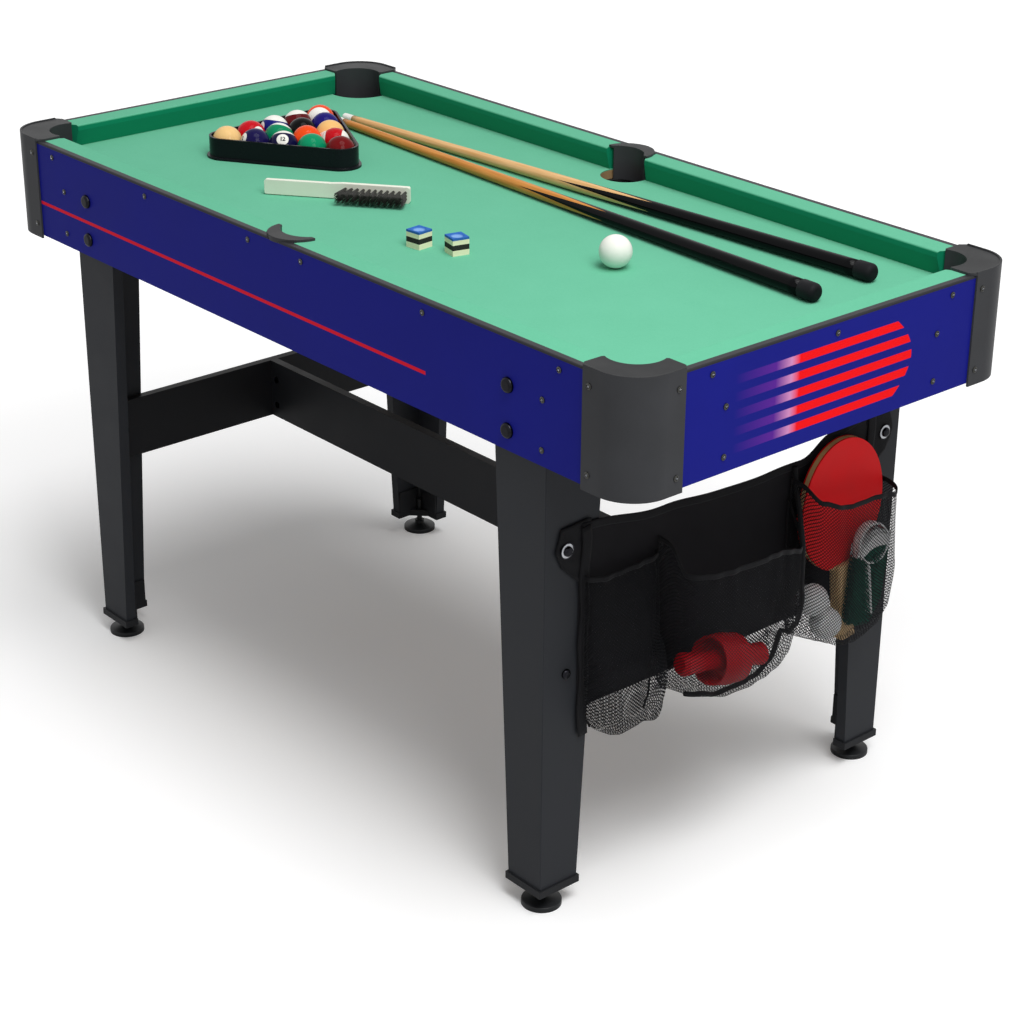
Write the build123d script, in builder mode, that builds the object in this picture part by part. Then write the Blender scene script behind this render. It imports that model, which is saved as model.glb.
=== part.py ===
"""Four foot multi game table: pool table top on L legs, with its game pieces and storage bag.

Millimetres. X runs along the table, Y across it, Z up, with the origin on the floor
under the middle of the table. The front long side faces -Y.
"""
from math import asin, atan2, cos, degrees, radians, sin, sqrt
import os

from build123d import *

os.makedirs("parts", exist_ok=True)

# Whole table
table_length = 1220
table_width = 603
rail_height = 705
end_x = table_length / 2
side_y = table_width / 2

# Clearances
slip_gap = 0.3
hole_gap = 0.2
overrun = 5
half_turn = 180

# Aprons and their edge trims
apron_height = 130
apron_thickness = 12
trim_width = 9
trim_thickness = 3
trim_round = 2
apron_top = rail_height - trim_thickness
apron_bottom = rail_height - apron_height
apron_inner_x = end_x - apron_thickness
apron_inner_y = side_y - apron_thickness

# Playing bed
cushion_height = 30
cloth_thickness = 1
bed_thickness = 12
play_height = rail_height - cushion_height
bed_top = play_height - cloth_thickness
bed_bottom = bed_top - bed_thickness

# Cushion rails
rail_width = 38
nose_undercut = 5
nose_depth = 8
nose_round = 3

# Corner castings: distances are measured inward from the corner of the aprons
corner_round = 46
casting_wall = 2.5
casting_flange = 72
casting_plate = 3
casting_rim = 1
casting_drop = 4
panel_end_inset = 50
casting_top = rail_height + casting_plate
casting_bottom = apron_bottom - casting_drop

# Corner pockets
corner_pocket_inset = 64
corner_pocket_radius = 34
corner_mouth_angle = 67.5
ear_length = 79
ear_slant = 6
ear_inner = 30
corner_notch_inset = 40
corner_notch_radius = 46
corner_jaw_root = 66
corner_jaw_tip = 84

# Side pockets
side_pocket_inset = 45
side_pocket_radius = 30
side_liner_inset = 54
side_liner_radius = 36
side_liner_end_inset = 32
crescent_inset = 35
crescent_radius = 36
crescent_tip_inset = 34
side_notch_inset = 38
side_notch_radius = 32.5
side_jaw_root = 28
side_jaw_tip = 36

# Pocket cups under the bed
pocket_wall = 2.5
cup_depth = 72
cup_flange = 7
cup_flange_thickness = 2
cup_floor_round = 12

# Bearers under the bed
bearer_thickness = 12
bearer_drop = 10
end_bearer_y = 168
batten_y = 100
batten_height = 40

# Legs
leg_inset_x = 141
leg_board = 15
leg_top_width = 88
leg_bottom_width = 56
leg_bottom = 34
leg_edge_round = 1
leg_x = end_x - leg_inset_x
leg_y = apron_inner_y
leg_height = bed_bottom - leg_bottom

# Leg end caps
cap_thickness = 10
cap_overlap = 2.5
cap_upstand = 34
cap_upstand_wall = 3
cap_web = 38

# Levellers
leveller_inset = 21
leveller_pad_radius = 24
leveller_pad_thickness = 6
leveller_dome = 4
leveller_edge_round = 1.5
leveller_neck_radius = 7
leveller_neck = 5
leveller_stem_radius = 4
leveller_stem_engaged = 26

# Stretchers
stretcher_drop = 439
stretcher_height = 84
stretcher_board = 12
stretcher_end_gap = 6.5
stretcher_bottom = rail_height - stretcher_drop
end_stretcher_reach = leg_y - leg_board - stretcher_end_gap

# Leg bolts and the other frame bolts
leg_bolt_inset = 49
leg_bolt_x = leg_x - leg_bolt_inset
leg_bolt_drops = (55, 107)
leg_bolt_head_radius = 9
leg_bolt_head = 4.5
leg_bolt_radius = 4
frame_bolt_head_radius = 6
frame_bolt_head = 4
frame_bolt_radius = 3
head_edge = 0.8
nut_radius = 6.5
nut_thickness = 5
washer_radius = 10
washer_thickness = 1.5
stretcher_bolt_inset = 12
bolt_y = end_stretcher_reach - stretcher_bolt_inset
junction_bolt_shares = (0.22, 0.68)
barrel_nut_radius = 5
barrel_nut_inset = 12
junction_bolt_reach = 24

# Small screws
screw_head_radius = 3.6
screw_head = 1.8
screw_head_bevel = 1
screw_radius = 1.8
screw_length = 9
rail_screw_drop = 14
rail_screw_shares = (-0.82, -0.454, -0.087, 0.087, 0.454, 0.82)
end_screw_shares = (-0.63, 0, 0.63)
bearer_screw_drops = (55, 112)
casting_screw_inset = 62
casting_screw_drops = (17, 115)

# Storage bag: the heights of the bag and its contents are measured down from its top corner
bag_thickness = 2.5
bag_half_width = 240
bag_drop = 205
bag_level = rail_height - bag_drop
bag_top_shares = ((-1, 14), (-0.458, 29), (0.042, 37), (0.458, 36), (0.688, 15), (1, 0))
bag_top_edge = [(share * bag_half_width, bag_level - drop) for share, drop in bag_top_shares]
bag_panel_bottom = bag_level - 242
bag_strip_bottom = bag_level - 278
bag_strip_width = 15
tab_bolt_inset = 29.5
tab_bolt_drop = 38
tab_bolt_y = leg_y - tab_bolt_inset
tab_bolt_z = bag_level - tab_bolt_drop
tab_seam = 8
tab_rise = 26
tab_fall = 45
tab_edge_offsets = ((10, 28), (17, 0), (8, -20), (-14, -45))
tab_root_y = bag_half_width - tab_seam
tab_outline = [(tab_root_y, tab_bolt_z + tab_rise)]
tab_outline += [(tab_bolt_y + out, tab_bolt_z + rise) for out, rise in tab_edge_offsets]
tab_outline += [(tab_root_y, tab_bolt_z - tab_fall)]
tab_round = 6

# Mesh pockets: start and end across the table, depth, and drops of the floor and the mouth
pocket_skin = 1.5
pocket_station_shares = ((0, 0.75), (0.05, 0.87), (0.13, 0.95), (0.35, 1), (0.7, 0.98), (1, 0.93))
pocket_side_slant = 5
pocket_corner_round = 16
pocket_gap = 0.3
left_pocket = (-234, -125, 46, 288, 80)
middle_pocket = (-121, 92, 76, 270.4, 95)
right_pocket = (95.5, 249.5, 60, 291.4, 88)

# Table tennis bat
bat_tilt = 7
bat_blade_width = 141
bat_blade_height = 174
bat_wood = 6
bat_rubber = 2
bat_rubber_cut = 79
bat_handle = 98
bat_handle_overlap = 7
bat_handle_width = 27
bat_handle_depth = 22
bat_handle_round = 6
bat_centre_y = 172.5
bat_drop = 104
bat_centre_z = bag_level - bat_drop

# Table tennis net, balls and pushers kept in the bag
net_depth = 20
net_forward = 27
net_corner_round = 10
net_edge_round = 6
net_points = ((172, 150), (202, 136), (234, 146), (240, 178), (238, 238), (212, 268), (194, 232))
net_outline = [(y, bag_level - drop) for y, drop in net_points]
tennis_ball_radius = 20
tennis_ball_points = ((123, 214), (150, 254))
pusher_radius = 31
pusher_rim = 22
pusher_wall = 4
pusher_height = 72
knob_radius = 14
knob_foot_radius = 11
knob_round = 5
pusher_y = -42
pusher_drop = 233
pusher_z = bag_level - pusher_drop
pusher_tilt = 13

# Balls and rack
ball_radius = 20
ball_gap = 0.4
rack_x_share = -0.6
rack_x = rack_x_share * end_x
rack_y = -3
rack_gap = 1.2
rack_turn = 123
rack_height = 29
rack_wall = 3
rack_foot = 3.5
rack_foot_height = 3
cue_ball_x_share = 0.4377
cue_ball_x = cue_ball_x_share * end_x
cue_ball_y = -4

# Cues: tips placed from the middle of the rack, butts from the right end and the rear side
cue_length_share = 0.7705
cue_length = cue_length_share * table_length
cue_tip_radius = 5.2
cue_butt_radius = 12.6
cue_ferrule = 16
cue_tip = 5
cue_tip_round = 3.5
cue_bumper = 24
cue_bumper_lip = 0.8
cue_bumper_round = 7
cue_tip_offsets = ((-86, 144), (-74, 126))
cue_butt_insets = ((121, 114.5), (116, 215.5))

# Brush, lying on its side
brush_x_share = -0.19
brush_x = brush_x_share * end_x
brush_y = -60.9
brush_turn = 38
brush_head = 88
brush_head_width = 21
brush_handle = 103
brush_handle_width = 19
brush_neck = 14
brush_back_thickness = 7
brush_corner_round = 3
bristle_length = 28
bristle_bed = 2
bristle_head = 83
bristle_width = 13
bristle_columns = 44
bristle_rows = 7
bristle_radius = 0.8

# Chalk
chalk_side = 22
chalk_dish_radius = 18
chalk_dish_depth = 2.5
chalk_places = ((59, -131, 6), (107, -112, -13))

corners = (
    ("front_left", -1, -1),
    ("front_right", 1, -1),
    ("rear_left", -1, 1),
    ("rear_right", 1, 1),
)


def save(piece, label):
    """Name a finished piece and write it to its own file."""
    piece.label = label
    export_step(piece, f"parts/{label}.step")


def reflected(piece, x_sign, y_sign):
    """Copy a piece made for the front left (-X, -Y) quarter to another quarter."""
    with BuildPart() as copy:
        add(piece)
        if x_sign > 0:
            mirror(about=Plane.YZ, mode=Mode.REPLACE)
        if y_sign > 0:
            mirror(about=Plane.XZ, mode=Mode.REPLACE)
    return copy.part


def corner_plane(height):
    """Plane at a height whose X and Y run inward from the front left apron corner."""
    return Plane(origin=(-end_x, -side_y, height))


def side_plane(height):
    """Plane at a height whose Y runs inward from the middle of the front apron."""
    return Plane(origin=(0, -side_y, height))


def front_places(xs, drops):
    """Places on the front and rear faces of the long aprons, facing outward."""
    spots = []
    for x in xs:
        for drop in drops:
            spots.append(Location((x, -side_y, rail_height - drop), (90, 0, 0)))
            spots.append(Location((x, side_y, rail_height - drop), (-90, 0, 0)))
    return spots


def end_places(ys, drops):
    """Places on the outer faces of the end aprons, facing outward."""
    spots = []
    for y in ys:
        for drop in drops:
            spots.append(Location((-end_x, y, rail_height - drop), (0, -90, 0)))
            spots.append(Location((end_x, y, rail_height - drop), (0, 90, 0)))
    return spots


# Places of the fasteners that pass through the aprons
bearer_x = leg_x + bearer_thickness / 2
bearer_bottom = apron_bottom + bearer_drop
rail_screw_places = front_places([share * end_x for share in rail_screw_shares], [rail_screw_drop])
rail_screw_places += end_places([share * side_y for share in end_screw_shares], [rail_screw_drop])
bearer_screw_places = front_places((-bearer_x, bearer_x), bearer_screw_drops)
bearer_screw_places += end_places((-end_bearer_y, end_bearer_y), bearer_screw_drops)
leg_bolt_places = front_places((-leg_bolt_x, leg_bolt_x), leg_bolt_drops)
casting_screw_x = end_x - casting_screw_inset
casting_screw_y = side_y - casting_screw_inset
casting_screw_holes = front_places((-casting_screw_x, casting_screw_x), casting_screw_drops)
casting_screw_holes += end_places((-casting_screw_y, casting_screw_y), casting_screw_drops)
casting_screw_places = []
for apron_place in casting_screw_holes:
    casting_screw_places.append(apron_place * Location((0, 0, casting_wall)))

# Long aprons
apron_run = table_length - 2 * panel_end_inset
with BuildPart() as apron_front:
    with BuildSketch(side_plane(apron_bottom)):
        with Locations((0, apron_thickness / 2)):
            Rectangle(apron_run, apron_thickness)
    extrude(amount=apron_top - apron_bottom)
    with Locations(*leg_bolt_places):
        Hole(leg_bolt_radius + hole_gap, depth=apron_thickness)
    with Locations(*rail_screw_places, *bearer_screw_places, *casting_screw_holes):
        Hole(screw_radius + hole_gap, depth=screw_length)
save(apron_front.part, "apron_front")
save(reflected(apron_front.part, -1, 1), "apron_rear")

# End aprons
with BuildPart() as apron_left:
    with BuildSketch(Plane(origin=(-end_x, 0, apron_bottom))):
        with Locations((apron_thickness / 2, 0)):
            Rectangle(apron_thickness, table_width - 2 * panel_end_inset)
    extrude(amount=apron_top - apron_bottom)
    with Locations(*rail_screw_places, *bearer_screw_places, *casting_screw_holes):
        Hole(screw_radius + hole_gap, depth=screw_length)
save(apron_left.part, "apron_left")
save(reflected(apron_left.part, 1, -1), "apron_right")

# Edge trims, cut clear of the crescents of the side pockets
def trim_section(sketch_plane, inward):
    """Section of a trim strip: X inward from the apron's outer face, Y up from its top."""
    with BuildSketch(sketch_plane) as section:
        with Locations((inward * trim_width / 2, trim_thickness / 2)):
            Rectangle(trim_width, trim_thickness)
        fillet(section.vertices().sort_by_distance((0, trim_thickness, 0))[0], trim_round)
    return section.sketch


end_trim_run = table_width - 2 * panel_end_inset
with BuildPart() as edge_trims:
    for sign in (-1, 1):
        long_start = (-apron_run / 2, sign * side_y, apron_top)
        long_plane = Plane(origin=long_start, x_dir=(0, 1, 0), z_dir=(1, 0, 0))
        extrude(trim_section(long_plane, -sign), amount=apron_run)
        end_start = (sign * end_x, end_trim_run / 2, apron_top)
        end_plane = Plane(origin=end_start, x_dir=(1, 0, 0), z_dir=(0, -1, 0))
        extrude(trim_section(end_plane, -sign), amount=end_trim_run)
    with BuildSketch(Plane.XY.offset(apron_top)):
        with GridLocations(0, 2 * (side_y - crescent_inset), 1, 2):
            Circle(crescent_radius + slip_gap)
    extrude(amount=trim_thickness, mode=Mode.SUBTRACT)
save(edge_trims.part, "edge_trims")


def bed_outline(sketch_plane):
    """Sketch the bed between the aprons, notched round for the six pockets."""
    with BuildSketch(sketch_plane) as outline:
        Rectangle(2 * apron_inner_x, 2 * apron_inner_y)
        notch_x = end_x - corner_notch_inset
        notch_y = side_y - corner_notch_inset
        with GridLocations(2 * notch_x, 2 * notch_y, 2, 2):
            Circle(corner_notch_radius, mode=Mode.SUBTRACT)
        with GridLocations(0, 2 * (side_y - side_notch_inset), 1, 2):
            Circle(side_notch_radius, mode=Mode.SUBTRACT)
    return outline.sketch


# Playing board and its cloth
with BuildPart() as bed_board:
    extrude(bed_outline(Plane.XY.offset(bed_bottom)), amount=bed_thickness)
save(bed_board.part, "bed_board")

with BuildPart() as bed_cloth:
    extrude(bed_outline(Plane.XY.offset(bed_top)), amount=cloth_thickness)
save(bed_cloth.part, "bed_cloth")


def rail_profile(sketch_plane):
    """Section of a cushion rail: X inward from the apron's outer face, Y up from the cloth."""
    with BuildSketch(sketch_plane) as profile:
        with BuildLine():
            Polyline(
                (apron_thickness, 0),
                (apron_thickness, cushion_height - trim_thickness),
                (trim_width, cushion_height - trim_thickness),
                (trim_width, cushion_height),
                (rail_width, cushion_height),
                (rail_width, cushion_height - nose_depth),
                (rail_width - nose_undercut, 0),
                close=True,
            )
        make_face()
        fillet(profile.vertices().sort_by_distance((rail_width, cushion_height, 0))[0], nose_round)
    return profile.sketch


# Cushion rails: a section extruded along the apron, cut off at its jaws
with BuildPart() as cushion_front_left:
    front_start = (0, -side_y, play_height)
    extrude(rail_profile(Plane(origin=front_start, x_dir=(0, 1, 0), z_dir=(1, 0, 0))), amount=-end_x)
    with BuildSketch(Plane.XY.offset(play_height)):
        with BuildLine():
            Polyline(
                (-end_x + corner_jaw_root, -side_y + trim_width),
                (-end_x + corner_jaw_tip, -side_y + rail_width),
                (-side_jaw_tip, -side_y + rail_width),
                (-side_jaw_root, -side_y + trim_width),
                close=True,
            )
        make_face()
    extrude(amount=cushion_height, mode=Mode.INTERSECT)
for name, x_sign, y_sign in corners:
    save(reflected(cushion_front_left.part, x_sign, y_sign), f"cushion_{name}")

with BuildPart() as cushion_left:
    left_start = (-end_x, side_y, play_height)
    extrude(rail_profile(Plane(origin=left_start, x_dir=(1, 0, 0), z_dir=(0, -1, 0))), amount=table_width)
    with BuildSketch(Plane.XY.offset(play_height)):
        with BuildLine():
            Polyline(
                (-end_x + trim_width, -side_y + corner_jaw_root),
                (-end_x + rail_width, -side_y + corner_jaw_tip),
                (-end_x + rail_width, side_y - corner_jaw_tip),
                (-end_x + trim_width, side_y - corner_jaw_root),
                close=True,
            )
        make_face()
    extrude(amount=cushion_height, mode=Mode.INTERSECT)
save(cushion_left.part, "cushion_left")
save(reflected(cushion_left.part, 1, -1), "cushion_right")

# Corner casting: skirt round the corner, flat top with two ears, and a curved pocket liner
outer_round = corner_round + casting_wall
mouth_start = -corner_mouth_angle
mouth_sweep = 2 * corner_mouth_angle - 270
with BuildPart() as corner_casting:
    with BuildSketch(corner_plane(casting_bottom)):
        with BuildLine():
            CenterArc((corner_round, corner_round), outer_round, 180, 90)
            Line((corner_round, -casting_wall), (casting_flange, -casting_wall))
            Line((casting_flange, -casting_wall), (casting_flange, 0))
            Line((casting_flange, 0), (corner_round, 0))
            CenterArc((corner_round, corner_round), corner_round, 180, 90)
            Line((0, corner_round), (0, casting_flange))
            Line((0, casting_flange), (-casting_wall, casting_flange))
            Line((-casting_wall, casting_flange), (-casting_wall, corner_round))
        make_face()
    extrude(amount=casting_top + casting_rim - casting_bottom)
    with BuildSketch(corner_plane(rail_height)) as cap_outline:
        with BuildLine():
            mouth = CenterArc(
                (corner_pocket_inset, corner_pocket_inset),
                corner_pocket_radius,
                mouth_start,
                mouth_sweep,
            )
            Polyline(mouth @ 0, (ear_length, ear_inner), (ear_length, ear_slant))
            Line((ear_length, ear_slant), (casting_flange, -casting_wall))
            Line((casting_flange, -casting_wall), (corner_round, -casting_wall))
            CenterArc((corner_round, corner_round), outer_round, 180, 90)
            Line((-casting_wall, corner_round), (-casting_wall, casting_flange))
            Line((-casting_wall, casting_flange), (ear_slant, ear_length))
            Polyline((ear_slant, ear_length), (ear_inner, ear_length), mouth @ 1)
        make_face()
    extrude(amount=casting_plate)
    with BuildSketch(corner_plane(bed_bottom)):
        with BuildLine():
            inner = CenterArc(
                (corner_pocket_inset, corner_pocket_inset),
                corner_pocket_radius,
                mouth_start,
                mouth_sweep,
            )
            outer = CenterArc(
                (corner_pocket_inset, corner_pocket_inset),
                corner_pocket_radius + pocket_wall,
                mouth_start,
                mouth_sweep,
            )
            Line(inner @ 0, outer @ 0)
            Line(inner @ 1, outer @ 1)
        make_face()
    extrude(amount=casting_top - bed_bottom)
    with Locations(*casting_screw_places):
        Hole(screw_radius + hole_gap, depth=casting_wall + overrun)
for name, x_sign, y_sign in corners:
    save(reflected(corner_casting.part, x_sign, y_sign), f"corner_casting_{name}")

# Side pocket: crescent top on the apron and the rail ends, with a curved liner below it
liner_outer = side_liner_radius + pocket_wall
liner_lift = degrees(asin((side_liner_inset - side_liner_end_inset) / side_liner_radius))
liner_start = half_turn + liner_lift
liner_sweep = half_turn - 2 * liner_lift
crescent_tip_x = sqrt(crescent_radius**2 - (crescent_inset - crescent_tip_inset) ** 2)
with BuildPart() as side_pocket:
    with BuildSketch(side_plane(apron_top)) as crescent:
        with Locations((0, crescent_inset)):
            Circle(crescent_radius)
        with Locations((0, side_liner_inset)):
            Circle(side_liner_radius, mode=Mode.SUBTRACT)
        with Locations((0, crescent_tip_inset + crescent_radius)):
            Rectangle(2 * crescent_radius, 2 * crescent_radius, mode=Mode.SUBTRACT)
    extrude(amount=casting_top - apron_top)
    # The top sits over the rail ends, and only its back reaches down to the apron
    with BuildSketch(side_plane(apron_top)):
        with Locations((0, apron_thickness + crescent_radius)):
            Rectangle(2 * crescent_radius, 2 * crescent_radius)
    extrude(amount=rail_height - apron_top, mode=Mode.SUBTRACT)
    with BuildSketch(side_plane(bed_bottom)):
        with BuildLine():
            inner = CenterArc((0, side_liner_inset), side_liner_radius, liner_start, liner_sweep)
            outer = CenterArc((0, side_liner_inset), liner_outer, liner_start, liner_sweep)
            Line(inner @ 0, outer @ 0)
            Line(inner @ 1, outer @ 1)
        make_face()
    extrude(amount=casting_top - bed_bottom)
save(side_pocket.part, "side_pocket_front")
save(reflected(side_pocket.part, -1, 1), "side_pocket_rear")


def make_cup(radius):
    """Build a ball cup with a rounded floor and a flange at its rim, rim at the origin."""
    with BuildPart() as hollow:
        with BuildSketch():
            Circle(radius)
        extrude(amount=-(cup_depth - pocket_wall))
        fillet(hollow.edges().group_by(Axis.Z)[0], cup_floor_round - pocket_wall)
    with BuildPart() as cup:
        with BuildSketch():
            Circle(radius + pocket_wall)
        extrude(amount=-cup_depth)
        fillet(cup.edges().group_by(Axis.Z)[0], cup_floor_round)
        with BuildSketch():
            Circle(radius + pocket_wall + cup_flange)
        extrude(amount=-cup_flange_thickness)
        add(hollow.part, mode=Mode.SUBTRACT)
    return cup.part


# Cups under the corner pockets
with BuildPart() as corner_cup:
    with Locations((-end_x + corner_pocket_inset, -side_y + corner_pocket_inset, bed_bottom)):
        add(make_cup(corner_pocket_radius))
for name, x_sign, y_sign in corners:
    save(reflected(corner_cup.part, x_sign, y_sign), f"corner_cup_{name}")

# Cups under the side pockets, cut flat where the flange meets the apron
with BuildPart() as side_cup:
    with Locations((0, -side_y + side_pocket_inset, bed_bottom)):
        add(make_cup(side_pocket_radius))
    with BuildSketch(side_plane(bed_bottom)):
        with Locations((0, apron_thickness - side_y / 2)):
            Rectangle(table_width, side_y)
        with Locations((0, side_pocket_inset)):
            Circle(side_pocket_radius + pocket_wall, mode=Mode.SUBTRACT)
    extrude(amount=-cup_depth, mode=Mode.SUBTRACT)
save(side_cup.part, "side_cup_front")
save(reflected(side_cup.part, -1, 1), "side_cup_rear")

# Bearers that carry the bed: two cross bearers, four end bearers and two long battens
with BuildPart() as bed_bearers:
    with BuildSketch(Plane.XY.offset(bearer_bottom)):
        with GridLocations(2 * bearer_x, 0, 2, 1):
            Rectangle(bearer_thickness, 2 * apron_inner_y)
        end_bearer_start = leg_x + bearer_thickness
        with GridLocations(apron_inner_x + end_bearer_start, 2 * end_bearer_y, 2, 2):
            Rectangle(apron_inner_x - end_bearer_start, bearer_thickness)
    extrude(amount=bed_bottom - bearer_bottom)
    with BuildSketch(Plane.XY.offset(bed_bottom)):
        with GridLocations(0, 2 * batten_y, 1, 2):
            Rectangle(2 * leg_x, bearer_thickness)
    extrude(amount=-batten_height)
save(bed_bearers.part, "bed_bearers")


def leg_board_outline(sketch_plane):
    """Sketch one tapered leg board, X inward from the leg's outer corner, Y up."""
    with BuildSketch(sketch_plane) as outline:
        with BuildLine():
            Polyline(
                (0, leg_bottom),
                (leg_bottom_width, leg_bottom),
                (leg_top_width, bed_bottom),
                (0, bed_bottom),
                close=True,
            )
        make_face()
    return outline.sketch


# Leg: two tapered boards folded into an L with a vertical outer corner
leg_foot = (-leg_x, -leg_y, 0)
with BuildPart() as leg:
    extrude(leg_board_outline(Plane(origin=leg_foot, x_dir=(1, 0, 0), z_dir=(0, -1, 0))), amount=-leg_board)
    extrude(leg_board_outline(Plane(origin=leg_foot, x_dir=(0, 1, 0), z_dir=(1, 0, 0))), amount=leg_board)
    outer_edge = leg.edges().filter_by(Axis.Z).sort_by_distance((-leg_x, -leg_y, rail_height / 2))[0]
    fillet(outer_edge, leg_edge_round)
    with Locations(*leg_bolt_places):
        Hole(leg_bolt_radius + hole_gap, depth=apron_thickness + leg_board + overrun)
    with Locations(
        Location((-leg_x, -bolt_y, stretcher_bottom + stretcher_height / 2), (0, -90, 0)),
        Location((-leg_x, -tab_bolt_y, tab_bolt_z), (0, -90, 0)),
    ):
        Hole(frame_bolt_radius + hole_gap, depth=leg_board)
for name, x_sign, y_sign in corners:
    save(reflected(leg.part, x_sign, y_sign), f"leg_{name}")

# Leg end caps: V plates with an upstand inside the leg and a web that carries the foot
cap_arm = leg_bottom_width + cap_overlap
cap_corner = Plane(origin=(-leg_x, -leg_y, leg_bottom))
with BuildPart() as leg_cap:
    with BuildSketch(cap_corner):
        with BuildLine():
            Polyline(
                (-cap_overlap, -cap_overlap),
                (cap_arm, -cap_overlap),
                (cap_arm, leg_board + cap_overlap),
                (cap_web, leg_board + cap_overlap),
                (leg_board + cap_overlap, cap_web),
                (leg_board + cap_overlap, cap_arm),
                (-cap_overlap, cap_arm),
                close=True,
            )
        make_face()
    extrude(amount=-cap_thickness)
    fillet(leg_cap.edges().group_by(Axis.Z)[0], leg_edge_round)
    with BuildSketch(cap_corner):
        with BuildLine():
            Polyline(
                (leg_board, leg_board),
                (leg_bottom_width, leg_board),
                (leg_bottom_width, leg_board + cap_upstand_wall),
                (leg_board + cap_upstand_wall, leg_board + cap_upstand_wall),
                (leg_board + cap_upstand_wall, leg_bottom_width),
                (leg_board, leg_bottom_width),
                close=True,
            )
        make_face()
    extrude(amount=cap_upstand)
    with BuildSketch(cap_corner.offset(cap_upstand)):
        with Locations((leveller_inset, leveller_inset)):
            Circle(leveller_stem_radius + slip_gap)
    extrude(amount=-(cap_upstand + cap_thickness), mode=Mode.SUBTRACT)
with BuildPart() as leg_end_caps:
    for name, x_sign, y_sign in corners:
        add(reflected(leg_cap.part, x_sign, y_sign))
save(leg_end_caps.part, "leg_end_caps")

# Levellers: a domed pad, a neck and a screw stem into the end cap
pad_top = leveller_pad_thickness + leveller_dome
with BuildPart() as leveller:
    foot_plane = Plane(
        origin=(-leg_x + leveller_inset, -leg_y + leveller_inset, 0), x_dir=(1, 0, 0), z_dir=(0, -1, 0)
    )
    with BuildSketch(foot_plane) as half_section:
        with BuildLine():
            Polyline(
                (0, 0),
                (leveller_pad_radius, 0),
                (leveller_pad_radius, leveller_pad_thickness),
                (leveller_neck_radius, pad_top),
                (leveller_neck_radius, pad_top + leveller_neck),
                (leveller_stem_radius, pad_top + leveller_neck),
                (leveller_stem_radius, leg_bottom - cap_thickness + leveller_stem_engaged),
                (0, leg_bottom - cap_thickness + leveller_stem_engaged),
                close=True,
            )
        make_face()
        pad_edge = (leveller_pad_radius, leveller_pad_thickness, 0)
        fillet(half_section.vertices().sort_by_distance(pad_edge)[0], leveller_edge_round)
    revolve(axis=Axis(foot_plane.origin, (0, 0, 1)))
for name, x_sign, y_sign in corners:
    save(reflected(leveller.part, x_sign, y_sign), f"leveller_{name}")

# Stretchers: two end boards inside the legs and a centre board between them
stretcher_face_x = leg_x - leg_board
stretcher_inner_x = stretcher_face_x - stretcher_board
stretcher_middle = stretcher_bottom + stretcher_height / 2
barrel_x = stretcher_inner_x - barrel_nut_inset
end_board_bolts = [Location((-stretcher_face_x, y, stretcher_middle), (0, -90, 0)) for y in (-bolt_y, bolt_y)]
junction_places = []
barrel_places = []
board_end_places = []
for share in junction_bolt_shares:
    height = stretcher_bottom + share * stretcher_height
    for sign in (-1, 1):
        junction_places.append(Location((sign * stretcher_face_x, 0, height), (0, sign * 90, 0)))
        barrel_places.append(Location((sign * barrel_x, -stretcher_board / 2, height), (90, 0, 0)))
        board_end_places.append(Location((sign * stretcher_inner_x, 0, height), (0, sign * 90, 0)))
with BuildPart() as end_stretcher_left:
    with BuildSketch(Plane.XY.offset(stretcher_bottom)):
        with Locations((-stretcher_face_x + stretcher_board / 2, 0)):
            Rectangle(stretcher_board, 2 * end_stretcher_reach)
    extrude(amount=stretcher_height)
    with Locations(*junction_places, *end_board_bolts):
        Hole(frame_bolt_radius + hole_gap, depth=stretcher_board)
save(end_stretcher_left.part, "end_stretcher_left")
save(reflected(end_stretcher_left.part, 1, -1), "end_stretcher_right")

with BuildPart() as centre_stretcher:
    with BuildSketch(Plane.XY.offset(stretcher_bottom)):
        Rectangle(2 * stretcher_inner_x, stretcher_board)
    extrude(amount=stretcher_height)
    with Locations(*barrel_places):
        Hole(barrel_nut_radius + hole_gap, depth=stretcher_board)
    with Locations(*board_end_places):
        Hole(frame_bolt_radius + hole_gap, depth=junction_bolt_reach)
save(centre_stretcher.part, "centre_stretcher")


def make_bolt(head_radius, head_height, bolt_radius, grip, nut_at=None):
    """Build a domed bolt under the origin with its head above it, and its nut down the shank."""
    with BuildPart() as bolt:
        with BuildSketch():
            Circle(head_radius)
        extrude(amount=head_height)
        fillet(bolt.edges().group_by(Axis.Z)[-1], head_height - head_edge)
        with BuildSketch():
            Circle(bolt_radius)
        extrude(amount=-grip)
        if nut_at is not None:
            with BuildSketch(Plane.XY.offset(-nut_at)):
                RegularPolygon(nut_radius, 6)
            extrude(amount=-nut_thickness)
    return bolt.part


# Frame bolts: leg bolts, stretcher bolts with barrel nuts, and bag bolts with washers
leg_grip = apron_thickness + leg_board
stretcher_grip = leg_board + stretcher_board
bag_grip = washer_thickness + bag_thickness + leg_board
stretcher_bolt_places = []
for x_sign in (-1, 1):
    for y in (-bolt_y, bolt_y):
        stretcher_bolt_places.append(Location((x_sign * leg_x, y, stretcher_middle), (0, x_sign * 90, 0)))
bag_bolt_places = []
for y in (-tab_bolt_y, tab_bolt_y):
    bag_bolt_places.append(Location((leg_x + bag_grip - leg_board, y, tab_bolt_z), (0, 90, 0)))
leg_shank = leg_grip + 2 * nut_thickness
frame_head = (frame_bolt_head_radius, frame_bolt_head, frame_bolt_radius)
leg_bolt = make_bolt(leg_bolt_head_radius, leg_bolt_head, leg_bolt_radius, leg_shank, leg_grip)
stretcher_bolt = make_bolt(*frame_head, stretcher_grip + nut_thickness, stretcher_grip)
bag_bolt = make_bolt(*frame_head, bag_grip + nut_thickness, bag_grip)
junction_bolt = make_bolt(*frame_head, stretcher_board + junction_bolt_reach)
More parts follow.
